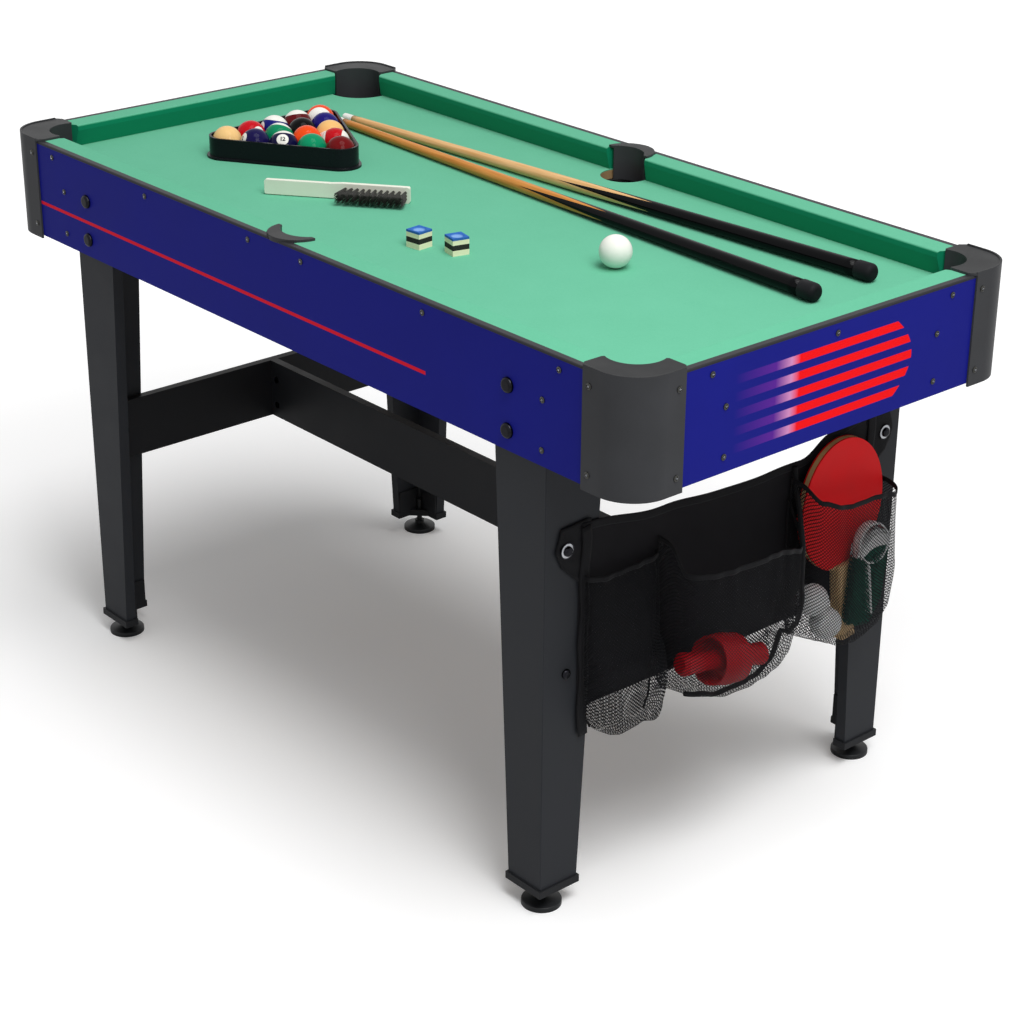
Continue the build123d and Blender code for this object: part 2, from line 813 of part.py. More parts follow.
with BuildPart() as barrel_nut_block:
    with BuildSketch():
        Circle(barrel_nut_radius)
    extrude(amount=-stretcher_board)
barrel_nut = barrel_nut_block.part
with BuildPart() as frame_bolts:
    with Locations(*leg_bolt_places):
        add(leg_bolt)
    with Locations(*stretcher_bolt_places):
        add(stretcher_bolt)
    with Locations(*bag_bolt_places):
        add(bag_bolt)
    with BuildSketch(Plane.YZ.offset(leg_x + bag_thickness)):
        with Locations((-tab_bolt_y, tab_bolt_z), (tab_bolt_y, tab_bolt_z)):
            Circle(washer_radius)
    extrude(amount=washer_thickness)
    with Locations(*junction_places):
        add(junction_bolt)
    with Locations(*barrel_places):
        add(barrel_nut)
save(frame_bolts.part, "frame_bolts")


def make_screw():
    """Build a small pan head screw with its head above the origin."""
    with BuildPart() as screw:
        with BuildSketch():
            Circle(screw_head_radius)
        extrude(amount=screw_head)
        chamfer(screw.edges().group_by(Axis.Z)[-1], screw_head_bevel)
        with BuildSketch():
            Circle(screw_radius)
        extrude(amount=-screw_length)
    return screw.part


# Small screws of the rails, the bearers and the corner castings
with BuildPart() as small_screws:
    with Locations(*rail_screw_places, *bearer_screw_places):
        add(make_screw())
    with Locations(*casting_screw_places):
        add(make_screw())
save(small_screws.part, "small_screws")

# Storage bag: back panel with a sagging top edge, a hanging strip at each side and two bolted tabs
with BuildPart() as bag_panel:
    with BuildSketch(Plane.YZ.offset(leg_x)):
        with BuildLine():
            Spline(*bag_top_edge)
            Polyline(
                bag_top_edge[-1],
                (bag_half_width, bag_strip_bottom),
                (bag_half_width - bag_strip_width, bag_strip_bottom),
                (bag_half_width - bag_strip_width, bag_panel_bottom),
                (bag_strip_width - bag_half_width, bag_panel_bottom),
                (bag_strip_width - bag_half_width, bag_strip_bottom),
                (-bag_half_width, bag_strip_bottom),
                bag_top_edge[0],
            )
        make_face()
        for sign in (-1, 1):
            with BuildSketch(mode=Mode.PRIVATE) as tab:
                with BuildLine():
                    Polyline(*[(sign * y, height) for y, height in tab_outline], close=True)
                make_face()
                fillet(tab.vertices(), tab_round)
            add(tab.sketch)
        with Locations((-tab_bolt_y, tab_bolt_z), (tab_bolt_y, tab_bolt_z)):
            Circle(frame_bolt_radius + hole_gap, mode=Mode.SUBTRACT)
    extrude(amount=bag_thickness)
save(bag_panel.part, "bag_panel")

pocket_back = leg_x + bag_thickness


def pocket_solid(pocket, skin):
    """Loft one pocket between its belly and its mouth, drawn in all round by the skin."""
    y_start, y_end, depth, floor_drop, mouth_drop = pocket
    low = bag_level - floor_drop + skin
    high = bag_level - mouth_drop
    with BuildPart() as body:
        for height_share, share in pocket_station_shares:
            slant = pocket_side_slant
            inset = (1 - share) * depth / 2
            with BuildSketch(Plane.XY.offset(low + (high - low) * height_share)) as section:
                with BuildLine():
                    Polyline(
                        (pocket_back + skin, y_start + inset + skin),
                        (pocket_back + skin, y_end - inset - skin),
                        (pocket_back + depth * share - skin, y_end - inset - slant - skin),
                        (pocket_back + depth * share - skin, y_start + inset + slant + skin),
                        close=True,
                    )
                make_face()
                fillet(section.vertices().sort_by(Axis.X)[-2:], pocket_corner_round * share - skin)
        loft(ruled=True)
    return body.part


# Mesh pockets, open at the top
with BuildPart() as bag_pockets:
    for pocket in (left_pocket, middle_pocket, right_pocket):
        add(pocket_solid(pocket, 0))
        add(pocket_solid(pocket, pocket_skin), mode=Mode.SUBTRACT)
save(bag_pockets.part, "bag_pockets")

# Table tennis bat, hanging handle down and leaning to the rear
bat_middle_x = pocket_back + pocket_skin + pocket_gap + bat_handle_depth / 2
bat_up = (0, -sin(radians(bat_tilt)), cos(radians(bat_tilt)))
bat_across = (0, cos(radians(bat_tilt)), sin(radians(bat_tilt)))
bat_plane = Plane(origin=(bat_middle_x, bat_centre_y, bat_centre_z), x_dir=bat_across, z_dir=(1, 0, 0))
blade_half_height = bat_blade_height / 2
handle_top = bat_plane.from_local_coords((0, bat_handle_overlap - blade_half_height, 0))
with BuildPart() as bat:
    with BuildSketch(bat_plane):
        Ellipse(bat_blade_width / 2, blade_half_height)
    extrude(amount=bat_wood / 2, both=True)
    with BuildSketch(Plane(origin=handle_top, x_dir=bat_across, z_dir=bat_up)):
        RectangleRounded(bat_handle_width, bat_handle_depth, bat_handle_round)
    extrude(amount=-bat_handle - bat_handle_overlap)
save(bat.part, "bat")

with BuildPart() as bat_rubbers:
    for face_sign in (-1, 1):
        with BuildSketch(bat_plane.offset(face_sign * bat_wood / 2)):
            Ellipse(bat_blade_width / 2, blade_half_height)
            with Locations((0, -bat_rubber_cut - bat_blade_height)):
                Rectangle(2 * bat_blade_width, 2 * bat_blade_height, mode=Mode.SUBTRACT)
        extrude(amount=face_sign * bat_rubber)
save(bat_rubbers.part, "bat_rubbers")

# Table tennis net, folded into a flat bundle in front of the bat
with BuildPart() as table_tennis_net:
    with BuildSketch(Plane.YZ.offset(pocket_back + net_forward)) as bundle:
        with BuildLine():
            Polyline(*net_outline, close=True)
        make_face()
        fillet(bundle.vertices(), net_corner_round)
    extrude(amount=net_depth)
    fillet(table_tennis_net.edges().group_by(Axis.X)[-1], net_edge_round)
save(table_tennis_net.part, "table_tennis_net")

# Two hockey pushers laid base to base
pusher_axis = (0, -cos(radians(pusher_tilt)), sin(radians(pusher_tilt)))
pusher_x = pocket_back + pocket_skin + pocket_gap + pusher_radius
with BuildPart() as pushers:
    for face_sign in (-1, 1):
        axis_vector = (0, face_sign * pusher_axis[1], face_sign * pusher_axis[2])
        pusher_plane = Plane(origin=(pusher_x, pusher_y, pusher_z), x_dir=axis_vector, z_dir=(1, 0, 0))
        with BuildSketch(pusher_plane):
            with BuildLine():
                Polyline(
                    (slip_gap, 0),
                    (slip_gap, pusher_radius),
                    (pusher_rim, pusher_radius - pusher_wall / 2),
                    (pusher_rim, pusher_radius - pusher_wall),
                    (pusher_wall, pusher_radius - 2 * pusher_wall),
                    (pusher_wall, knob_radius),
                    (pusher_rim, knob_foot_radius),
                    (pusher_height - knob_round, knob_radius),
                    (pusher_height, knob_radius - knob_round),
                    (pusher_height, 0),
                    close=True,
                )
            make_face()
        revolve(axis=Axis((pusher_x, pusher_y, pusher_z), axis_vector))
save(pushers.part, "pushers")

# Rack: a rounded triangle wall with a foot, round fifteen balls
ball_pitch = 2 * ball_radius + ball_gap
rack_reach = 4 * ball_pitch / sqrt(3)
rack_direction = (cos(radians(rack_turn)), sin(radians(rack_turn)), 0)
rack_plane = Plane(origin=(rack_x, rack_y, play_height), x_dir=rack_direction, z_dir=(0, 0, 1))
with BuildPart() as rack:
    with BuildSketch(rack_plane):
        RegularPolygon(rack_reach, 3)
        offset(amount=ball_radius + rack_gap + rack_wall, kind=Kind.ARC)
    extrude(amount=rack_height)
    with BuildSketch(rack_plane):
        RegularPolygon(rack_reach, 3)
        offset(amount=ball_radius + rack_gap + rack_wall + rack_foot, kind=Kind.ARC)
    extrude(amount=rack_foot_height)
    with BuildSketch(rack_plane):
        RegularPolygon(rack_reach, 3)
        offset(amount=ball_radius + rack_gap, kind=Kind.ARC)
    extrude(amount=rack_height, mode=Mode.SUBTRACT)
save(rack.part, "rack")

ball_places = []
for row in range(5):
    for place in range(row + 1):
        along = rack_reach - row * ball_pitch * cos(radians(30))
        across = (place - row / 2) * ball_pitch
        ball_places.append(rack_plane.from_local_coords((along, across, ball_radius + slip_gap)))
with BuildPart() as object_balls:
    with Locations(*ball_places):
        Sphere(ball_radius)
save(object_balls.part, "object_balls")

with BuildPart() as cue_ball:
    with Locations((cue_ball_x, cue_ball_y, play_height + ball_radius + slip_gap)):
        Sphere(ball_radius)
save(cue_ball.part, "cue_ball")


def cue_section(cue_plane, start, end):
    """Sketch the half section of a cue between two distances from its tip."""
    taper = (cue_butt_radius - cue_tip_radius) / cue_length
    with BuildSketch(cue_plane) as section:
        with BuildLine():
            Polyline(
                (start, 0),
                (start, cue_tip_radius + taper * start),
                (end, cue_tip_radius + taper * end),
                (end, 0),
                close=True,
            )
        make_face()
    return section.sketch


# Cues, lying along the table on the cloth
cue_lean = atan2(cue_butt_radius - cue_tip_radius, cue_length)
for number, (tip_offset, butt_inset) in enumerate(zip(cue_tip_offsets, cue_butt_insets), start=1):
    butt_x = end_x - butt_inset[0]
    butt_y = side_y - butt_inset[1]
    heading = atan2(rack_y + tip_offset[1] - butt_y, rack_x + tip_offset[0] - butt_x)
    toward_tip = (cos(heading) * cos(cue_lean), sin(heading) * cos(cue_lean), -sin(cue_lean))
    butt_height = play_height + slip_gap + (cue_butt_radius + cue_bumper_lip) / cos(cue_lean)
    tip_point = (
        butt_x + cue_length * toward_tip[0],
        butt_y + cue_length * toward_tip[1],
        butt_height + cue_length * toward_tip[2],
    )
    toward_butt = (-toward_tip[0], -toward_tip[1], -toward_tip[2])
    cue_plane = Plane(origin=tip_point, x_dir=toward_butt, z_dir=(-sin(heading), cos(heading), 0))
    cue_axis = Axis(tip_point, toward_butt)
    ferrule_end = cue_tip + cue_ferrule
    bumper_start = cue_length - cue_bumper
    with BuildPart() as cue_shaft:
        revolve(cue_section(cue_plane, ferrule_end, bumper_start), axis=cue_axis)
    save(cue_shaft.part, f"cue_{number}_shaft")
    with BuildPart() as cue_ferrule_part:
        with BuildSketch(cue_plane) as ferrule_section:
            with BuildLine():
                Polyline(
                    (0, 0),
                    (0, cue_tip_radius),
                    (ferrule_end, cue_tip_radius),
                    (ferrule_end, 0),
                    close=True,
                )
            make_face()
            fillet(ferrule_section.vertices().sort_by_distance((0, cue_tip_radius, 0))[0], cue_tip_round)
        revolve(axis=cue_axis)
    save(cue_ferrule_part.part, f"cue_{number}_ferrule")
    with BuildPart() as cue_bumper_part:
        with BuildSketch(cue_plane) as bumper_section:
            bumper_radius = cue_butt_radius + cue_bumper_lip
            with BuildLine():
                Polyline(
                    (bumper_start, 0),
                    (bumper_start, bumper_radius),
                    (cue_length, bumper_radius),
                    (cue_length, 0),
                    close=True,
                )
            make_face()
            bumper_end = bumper_section.vertices().sort_by_distance((cue_length, bumper_radius, 0))[0]
            fillet(bumper_end, cue_bumper_round)
        revolve(axis=cue_axis)
    save(cue_bumper_part.part, f"cue_{number}_bumper")

# Brush: a back with a paddle handle on its edge, and its bristles level over the cloth
brush_height = play_height + brush_head_width / 2
brush_front = Plane(
    origin=(brush_x, brush_y, brush_height),
    x_dir=(cos(radians(brush_turn)), sin(radians(brush_turn)), 0),
    z_dir=(sin(radians(brush_turn)), -cos(radians(brush_turn)), 0),
)
half_head = brush_head / 2
half_width = brush_head_width / 2
half_handle = brush_handle_width / 2
with BuildPart() as brush_back:
    with BuildSketch(brush_front) as back_outline:
        with BuildLine():
            Polyline(
                (half_head, -half_width),
                (half_head, half_width),
                (-half_head, half_width),
                (-half_head - brush_neck, half_handle),
                (-half_head - brush_handle, half_handle),
                (-half_head - brush_handle, -half_handle),
                (-half_head - brush_neck, -half_handle),
                (-half_head, -half_width),
                close=True,
            )
        make_face()
        fillet(back_outline.vertices(), brush_corner_round)
    extrude(amount=-brush_back_thickness)
save(brush_back.part, "brush_back")

with BuildPart() as brush_bristles:
    with BuildSketch(brush_front):
        Rectangle(bristle_head, bristle_width)
    extrude(amount=bristle_bed)
    with BuildSketch(brush_front.offset(bristle_bed)):
        with GridLocations(
            (bristle_head - 2 * bristle_radius) / (bristle_columns - 1),
            (bristle_width - 2 * bristle_radius) / (bristle_rows - 1),
            bristle_columns,
            bristle_rows,
        ):
            RegularPolygon(bristle_radius, 4)
    extrude(amount=bristle_length)
save(brush_bristles.part, "brush_bristles")

# Chalk cubes with a dished top
for number, (chalk_x, chalk_y, turn) in enumerate(chalk_places, start=1):
    chalk_floor = Plane(
        origin=(chalk_x, chalk_y, play_height),
        x_dir=(cos(radians(turn)), sin(radians(turn)), 0),
        z_dir=(0, 0, 1),
    )
    with BuildPart() as chalk:
        with BuildSketch(chalk_floor):
            Rectangle(chalk_side, chalk_side)
        extrude(amount=chalk_side)
        with Locations((chalk_x, chalk_y, play_height + chalk_side + chalk_dish_radius - chalk_dish_depth)):
            Sphere(chalk_dish_radius, mode=Mode.SUBTRACT)
    save(chalk.part, f"chalk_{number}")

# Table tennis balls beside the bat's handle
tennis_ball_x = pocket_back + pocket_skin + pocket_gap + tennis_ball_radius
with BuildPart() as table_tennis_balls:
    with Locations(
        *[(tennis_ball_x, y, bag_level - drop) for y, drop in tennis_ball_points]
    ):
        Sphere(tennis_ball_radius)
save(table_tennis_balls.part, "table_tennis_balls")
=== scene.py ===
"""Looks of the multi game table: finishes, smooth round pieces, storage bag and studio.

Metres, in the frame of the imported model: X along the table, Y across, Z up.
"""

from math import atan2, cos, hypot, pi, radians, sin, sqrt

import bmesh
import bpy
from mathutils import Matrix, Vector, noise


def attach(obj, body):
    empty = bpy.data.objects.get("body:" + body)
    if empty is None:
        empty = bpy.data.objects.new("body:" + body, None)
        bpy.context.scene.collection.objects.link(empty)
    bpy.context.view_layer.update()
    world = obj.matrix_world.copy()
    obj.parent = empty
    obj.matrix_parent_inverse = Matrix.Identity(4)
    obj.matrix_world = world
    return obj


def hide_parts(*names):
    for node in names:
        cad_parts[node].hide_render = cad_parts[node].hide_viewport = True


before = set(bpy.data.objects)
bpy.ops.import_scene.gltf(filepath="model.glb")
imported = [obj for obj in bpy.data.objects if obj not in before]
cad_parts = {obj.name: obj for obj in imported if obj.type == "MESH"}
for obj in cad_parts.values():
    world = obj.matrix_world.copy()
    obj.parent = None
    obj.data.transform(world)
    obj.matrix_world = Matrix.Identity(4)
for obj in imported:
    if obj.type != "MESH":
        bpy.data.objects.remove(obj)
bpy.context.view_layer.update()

# Sizes shared with the construction
mm = 0.001
end_x = 0.610
side_y = 0.3015
play_height = 0.675
leg_x = 0.469
pocket_back = 0.4715
ball_radius = 0.020
ball_pitch = 0.0404

# Camera of the photograph
camera_place = Vector((2.1529, -1.8017, 1.5597))
camera_right = Vector((0.6538, 0.7566, 0.0070)).normalized()
camera_forward = Vector((-0.6851, 0.5960, -0.4189)).normalized()
camera_up = camera_right.cross(camera_forward).normalized()


def linear(colour):
    """Turn an sRGB hex colour into the linear RGBA that shaders work in."""
    channels = [int(colour[i : i + 2], 16) / 255 for i in (1, 3, 5)]
    return (*[c / 12.92 if c <= 0.04045 else ((c + 0.055) / 1.055) ** 2.4 for c in channels], 1.0)


def every(size):
    """Scale of a pattern whose patches, threads or grains are so many millimetres wide."""
    return 1 / (size * mm)


def node(tree, kind, inputs=(), output=0, **settings):
    """Add one shader node, its inputs by position or name, and give back one of its outputs.

    A second word in the kind is a maths node's operation or a mix node's data type, and a hex
    text among the inputs is a colour.
    """
    kind, _, word = kind.partition(" ")
    made = tree.nodes.new("ShaderNode" + kind)
    if word:
        setattr(made, "data_type" if kind == "Mix" else "operation", word)
    for key, value in settings.items():
        setattr(made, key, value)
    for key, value in inputs.items() if isinstance(inputs, dict) else enumerate(inputs):
        if isinstance(value, bpy.types.NodeSocket):
            tree.links.new(value, made.inputs[key])
        else:
            made.inputs[key].default_value = linear(value) if isinstance(value, str) else value
    return None if output is None else made.outputs[output]


def material(name, build):
    """Make a material from a function that adds its nodes.

    The function gives back a shader, or the inputs of a principled one.
    """
    made = bpy.data.materials.new(name)
    made.use_nodes = True
    tree = made.node_tree
    tree.nodes.clear()
    surface = build(tree)
    if isinstance(surface, dict):
        surface = node(tree, "BsdfPrincipled", surface)
    node(tree, "OutputMaterial", {"Surface": surface}, None)
    return made


def moulded(name, colour, light, roughness, grain=1.2, relief=0.25, edge=0.8, shine=0.25, top=None):
    """Moulded or pressed surface: two close tones, a grain and softened edges, both in millimetres.

    A top colour, where given, is painted shade on what faces up.
    """

    def build(tree):
        place = node(tree, "TexCoord", output=3)
        cloud = node(tree, "TexNoise", {"Vector": place, "Scale": every(45), "Detail": 4.0})
        speckle = node(tree, "TexNoise", {"Vector": place, "Scale": every(grain), "Detail": 2.0})
        rounded = node(tree, "Bevel", {"Radius": edge * mm}, samples=4)
        grained = {"Height": speckle, "Strength": relief, "Distance": grain * mm / 8, "Normal": rounded}
        tone = node(tree, "Mix RGBA", {0: cloud, 6: colour, 7: light}, 2)
        # Painted shade: what faces up takes the top colour
        if top:
            up = node(tree, "SeparateXYZ", (node(tree, "NewGeometry", (), 1),), 2)
            facing_up_for_painted_shade = node(tree, "MapRange", (up, 0.5, 0.9, 0.0, 1.0))
            tone = node(tree, "Mix RGBA", {0: facing_up_for_painted_shade, 6: tone, 7: top}, 2)
        return {
            "Base Color": tone,
            "Roughness": node(tree, "MapRange", (cloud, 0.3, 0.7, roughness - 0.04, roughness + 0.05)),
            "Normal": node(tree, "Bump", grained),
            "Specular IOR Level": shine,
        }

    return material(name, build)


def wooden(name, colour, dark, roughness, along="X", coat=0.0, grain=4.0):
    """Sawn or pressed wood: streaks along one axis, a grain in millimetres wide, and fine pores."""

    def build(tree):
        stretch = {"X": (0.06, 1, 1), "Y": (1, 0.06, 1), "Z": (1, 1, 0.06)}[along]
        run = node(tree, "VectorMath MULTIPLY", (node(tree, "TexCoord", output=3), stretch))
        streaks = {"Vector": run, "Scale": every(grain), "Detail": 5.0, "Distortion": 0.4}
        streak = node(tree, "TexNoise", streaks)
        pore = node(tree, "TexNoise", {"Vector": run, "Scale": every(grain / 5), "Detail": 2.0})
        rounded = node(tree, "Bevel", {"Radius": 0.8 * mm}, samples=4)
        pitted = {"Height": pore, "Strength": 0.2, "Distance": 0.2 * mm, "Normal": rounded}
        return {
            "Base Color": node(tree, "Mix RGBA", {0: streak, 6: dark, 7: colour}, 2),
            "Roughness": node(tree, "MapRange", (pore, 0.3, 0.7, roughness, roughness + 0.12)),
            "Normal": node(tree, "Bump", pitted),
            "Specular IOR Level": 0.25,
            "Coat Weight": coat,
            "Coat Roughness": 0.15,
        }

    return material(name, build)


# Print on the aprons: the stripe's height and ends, the bars' middle, pitch, fan and curved tips, and
# from where to where the bars fade in, turn pale and turn red
stripe_z = 0.6215
stripe_half = 2.2 * mm
stripe_start = -0.53725
stripe_end = 0.28125
print_edge = 0.75 * mm
bars_z = 0.637
bar_pitch = 0.0195
bars_half = 0.0485
bars_tip = 0.126
tip_curve = 14.0
fade_run = (-0.155, -0.072)
pale_run = (-0.094, -0.070)
red_run = (-0.070, -0.057)


# Melamine laminate on board: a hard printed sheet in even deep blue, with a faint cloud and the fine
# texture of its press plate
def apron_build(tree):
    place = node(tree, "TexCoord", output=3)
    axes = [node(tree, "SeparateXYZ", (place,), axis) for axis in range(3)]
    facing = node(tree, "NewGeometry", (), 1)
    facing_x = node(tree, "Math ABSOLUTE", (node(tree, "SeparateXYZ", (facing,), 0),))
    on_end = node(tree, "Math GREATER_THAN", (facing_x, 0.7))
    on_side = node(tree, "Math SUBTRACT", (1.0, on_end))
    side_sign = node(tree, "Math SIGN", (axes[1],))
    end_sign = node(tree, "Math SIGN", (axes[0],))
    # Long stripe: a thin line that starts near the left casting and ends past the middle
    mirrored = node(tree, "Math MULTIPLY", (axes[0], side_sign))
    run = node(tree, "Math MULTIPLY", (mirrored, -1.0))
    off_centre = node(tree, "Math ABSOLUTE", (node(tree, "Math SUBTRACT", (axes[2], stripe_z)),))
    thin = (off_centre, stripe_half - 0.2 * mm, stripe_half + 0.2 * mm, 1.0, 0.0)
    started = (run, stripe_start - print_edge, stripe_start + print_edge, 0.0, 1.0)
    ended = (run, stripe_end - print_edge, stripe_end + print_edge, 1.0, 0.0)
    stripe = on_side
    for limit in (thin, started, ended):
        stripe = node(tree, "Math MULTIPLY", (stripe, node(tree, "MapRange", limit)))
    # Five bars on each end apron, fading in from nothing and ending in a shallow curve
    across = node(tree, "Math MULTIPLY", (axes[1], end_sign))
    height = node(tree, "Math SUBTRACT", (axes[2], bars_z))
    waves = node(tree, "Math ADD", (node(tree, "Math DIVIDE", (height, bar_pitch)), 0.5))
    wave = node(tree, "Math FRACT", (waves,))
    off_bar = node(tree, "Math ABSOLUTE", (node(tree, "Math SUBTRACT", (wave, 0.5)),))
    bar = node(tree, "MapRange", (off_bar, 0.24, 0.27, 1.0, 0.0))
    inside = node(tree, "Math LESS_THAN", (node(tree, "Math ABSOLUTE", (height,)), bars_half))
    squared = node(tree, "Math MULTIPLY", (height, height))
    bow = node(tree, "Math MULTIPLY_ADD", (squared, tip_curve, across))
    tip = node(tree, "MapRange", (bow, bars_tip - 0.5 * mm, bars_tip + 0.5 * mm, 1.0, 0.0))
    fade = node(tree, "MapRange", (across, *fade_run, 0.0, 1.0))
    bars = on_end
    for limit in (bar, inside, tip, fade):
        bars = node(tree, "Math MULTIPLY", (bars, limit))
    # Colours: purple to pale to red along the bars, over the blue with its stripe
    paler = node(tree, "MapRange", (across, *pale_run, 0.0, 1.0))
    redder = node(tree, "MapRange", (across, *red_run, 0.0, 1.0))
    cloud = node(tree, "TexNoise", {"Vector": place, "Scale": every(110), "Detail": 4.0})
    press = node(tree, "TexNoise", {"Vector": place, "Scale": every(0.7), "Detail": 2.0})
    blue = node(tree, "Mix RGBA", {0: cloud, 6: "#171b7c", 7: "#1b2088"}, 2)
    pale = node(tree, "Mix RGBA", {0: paler, 6: "#6a2a9c", 7: "#d790c4"}, 2)
    red = node(tree, "Mix RGBA", {0: redder, 6: pale, 7: "#fb1218"}, 2)
    lined = node(tree, "Mix RGBA", {0: stripe, 6: blue, 7: "#e01830"}, 2)
    return {
        "Base Color": node(tree, "Mix RGBA", {0: bars, 6: lined, 7: red}, 2),
        "Roughness": node(tree, "MapRange", (cloud, 0.3, 0.7, 0.36, 0.44)),
        "Specular IOR Level": 0.04,
        "Normal": node(tree, "Bump", {"Height": press, "Strength": 0.12, "Distance": 0.1 * mm}),
    }


apron_laminate = material("blue_printed_laminate", apron_build)


# Nylon and wool cloth with a raised nap, dull. Faces that do not face up, such as the rails' noses,
# get painted shade in a deeper green side colour. The nap is drawn coarser than real, so that it shows.
def felt(name, top, side, patch_tone):
    def build(tree):
        place = node(tree, "TexCoord", output=3)
        nap = node(tree, "TexNoise", {"Vector": place, "Scale": every(0.38), "Detail": 3.0})
        patches = {"Vector": place, "Scale": every(70), "Detail": 5.0, "Roughness": 0.6}
        cloud = node(tree, "TexNoise", patches)
        fibres = {"Vector": place, "Scale": every(2.4), "Detail": 4.0, "Distortion": 1.5}
        raised = node(tree, "MapRange", (node(tree, "TexNoise", fibres), 0.35, 0.75, 0.0, 0.16))
        up = node(tree, "SeparateXYZ", (node(tree, "NewGeometry", (), 1),), 2)
        facing_up_for_painted_shade = node(tree, "MapRange", (up, 0.15, 0.75, 0.0, 1.0))
        cloth = node(tree, "Mix RGBA", {0: cloud, 6: patch_tone, 7: top}, 2)
        fuzzy = node(tree, "Mix RGBA", {0: raised, 6: cloth, 7: "#86d2b2"}, 2)
        return {
            # Painted shade: what does not face up takes the side colour
            "Base Color": node(tree, "Mix RGBA", {0: facing_up_for_painted_shade, 6: side, 7: fuzzy}, 2),
            "Roughness": 0.92,
            "Specular IOR Level": 0.1,
            "Sheen Weight": 0.05,
            "Sheen Roughness": 0.5,
            "Normal": node(tree, "Bump", {"Height": nap, "Strength": 0.35, "Distance": 0.3 * mm}),
        }

    return material(name, build)


# The second colour of each cloth is painted shade for its faces that do not face up
bed_cloth = felt("green_felted_cloth_of_the_bed", "#6abd9b", "#2f9a76", "#62b592")
rail_cloth = felt("green_felted_cloth_of_the_rails", "#66bb98", "#07845e", "#5eb38f")

# PVC drawn through a die: an even satin black strip
trim_plastic = moulded("black_extruded_trim", "#28282b", "#303034", 0.42, relief=0.1, shine=0.1)
# ABS from spark-eroded moulds: a fine even grain in charcoal, with painted shade that turns what faces
# up darker
casting_grain_and_painted_top = {"grain": 1.0, "relief": 0.3, "shine": 0.1, "top": "#141517"}
casting_plastic = moulded("black_moulded_casting", "#37383a", "#404144", 0.36, **casting_grain_and_painted_top)
# Polypropylene end caps, feet and cups: softer blacks with a slight waxy shine
cap_plastic = moulded("black_moulded_end_cap", "#1a1b1d", "#222326", 0.5, shine=0.15)
leveller_plastic = moulded("black_moulded_foot", "#161719", "#1e2022", 0.42)
cup_plastic = moulded("black_moulded_cup", "#161718", "#1e1f20", 0.5)
# Polystyrene from polished moulds: a smooth black with clear reflections
rack_look = {"relief": 0.06, "shine": 0.12}
rack_plastic = moulded("black_polished_rack_plastic", "#101216", "#15171b", 0.26, **rack_look)
# Polypropylene brush back: ivory white and satin
brush_plastic = moulded("white_brush_back_plastic", "#e9ead8", "#f4f5e8", 0.4, relief=0.15)
# Glossy red polyethylene of the pushers
pusher_plastic = moulded("red_pusher_plastic", "#c80d1a", "#d81320", 0.25, relief=0.05)
# Celluloid with a sanded skin: matt white
tennis_plastic = moulded("white_celluloid_of_the_balls", "#eceef0", "#f6f7f8", 0.42, relief=0.2)
# Vulcanised rubber bumpers: dull black
bumper_rubber = moulded("black_rubber_bumper", "#111114", "#19191c", 0.6, relief=0.5, shine=0.1)
# Turned and polished nylon ferrules: smooth white
ferrule_plastic = moulded("white_ferrule_plastic", "#eceae4", "#f7f6f1", 0.3, relief=0.05)
# Ink of the balls' numbers, printed and clear-coated: smooth black
number_ink = moulded("black_number_ink", "#0d0d10", "#121216", 0.2, relief=0.0)
# Melamine laminate over board, on the legs and the stretchers: flat charcoal with a pressed texture.
# The stretchers' copy is darker, as painted shade for where they sit under the table
board_look = {"grain": 0.7, "relief": 0.12, "edge": 0.6, "shine": 0.15}
leg_laminate = moulded("black_laminate_of_the_legs", "#25272b", "#2b2d31", 0.48, **board_look)
# Painted shade: the stretchers take a darker copy of the legs' laminate
stretcher_laminate_painted_darker = moulded("black_laminate_of_the_stretchers_painted_darker", "#191a1d", "#202124", 0.5, **board_look)

# Medium density fibreboard of the bed: short pale fibres, matt
bed_board = wooden("pale_fibre_board", "#a98c63", "#8f7450", 0.8, grain=1.5)
# Planed pine of the bearers: straight brown streaks, matt
bearer_wood = wooden("planed_pine_bearers", "#b58f5c", "#96713f", 0.7, along="Y")
# Basswood plywood of the bat: pale, fine grained and thinly lacquered
bat_wood = wooden("pale_plywood_of_the_bat", "#f0cf9c", "#dcb078", 0.4, along="Z", coat=0.2, grain=2.0)


# Steel with a turned or plated surface: metallic, with a faint fine grain drawn coarse enough to show
def steel(name, colour, roughness):
    def build(tree):
        place = node(tree, "TexCoord", output=3)
        scratch = node(tree, "TexNoise", {"Vector": place, "Scale": every(1.1), "Detail": 3.0})
        return {
            "Base Color": colour,
            "Metallic": 1.0,
            "Roughness": node(tree, "MapRange", (scratch, 0.3, 0.7, roughness, roughness + 0.15)),
            "Normal": node(tree, "Bump", {"Height": scratch, "Strength": 0.1, "Distance": 0.1 * mm}),
        }

    return material(name, build)


screw_steel = steel("dark_phosphated_screws", "#4a4a47", 0.22)
bolt_steel = steel("polished_black_oxide_bolts", "#232327", 0.12)
washer_steel = steel("bright_washers", "#b9bbc0", 0.3)

# Chalk: its height over the cloth where the dark band of the wrap runs, where the wrap ends and how
# deep the worn dish of its top goes
band_low = 7.0 * mm
band_high = 13.5 * mm
wrap_top = 19.2 * mm
dish_rim = 21.3 * mm
dish_floor = 20.3 * mm


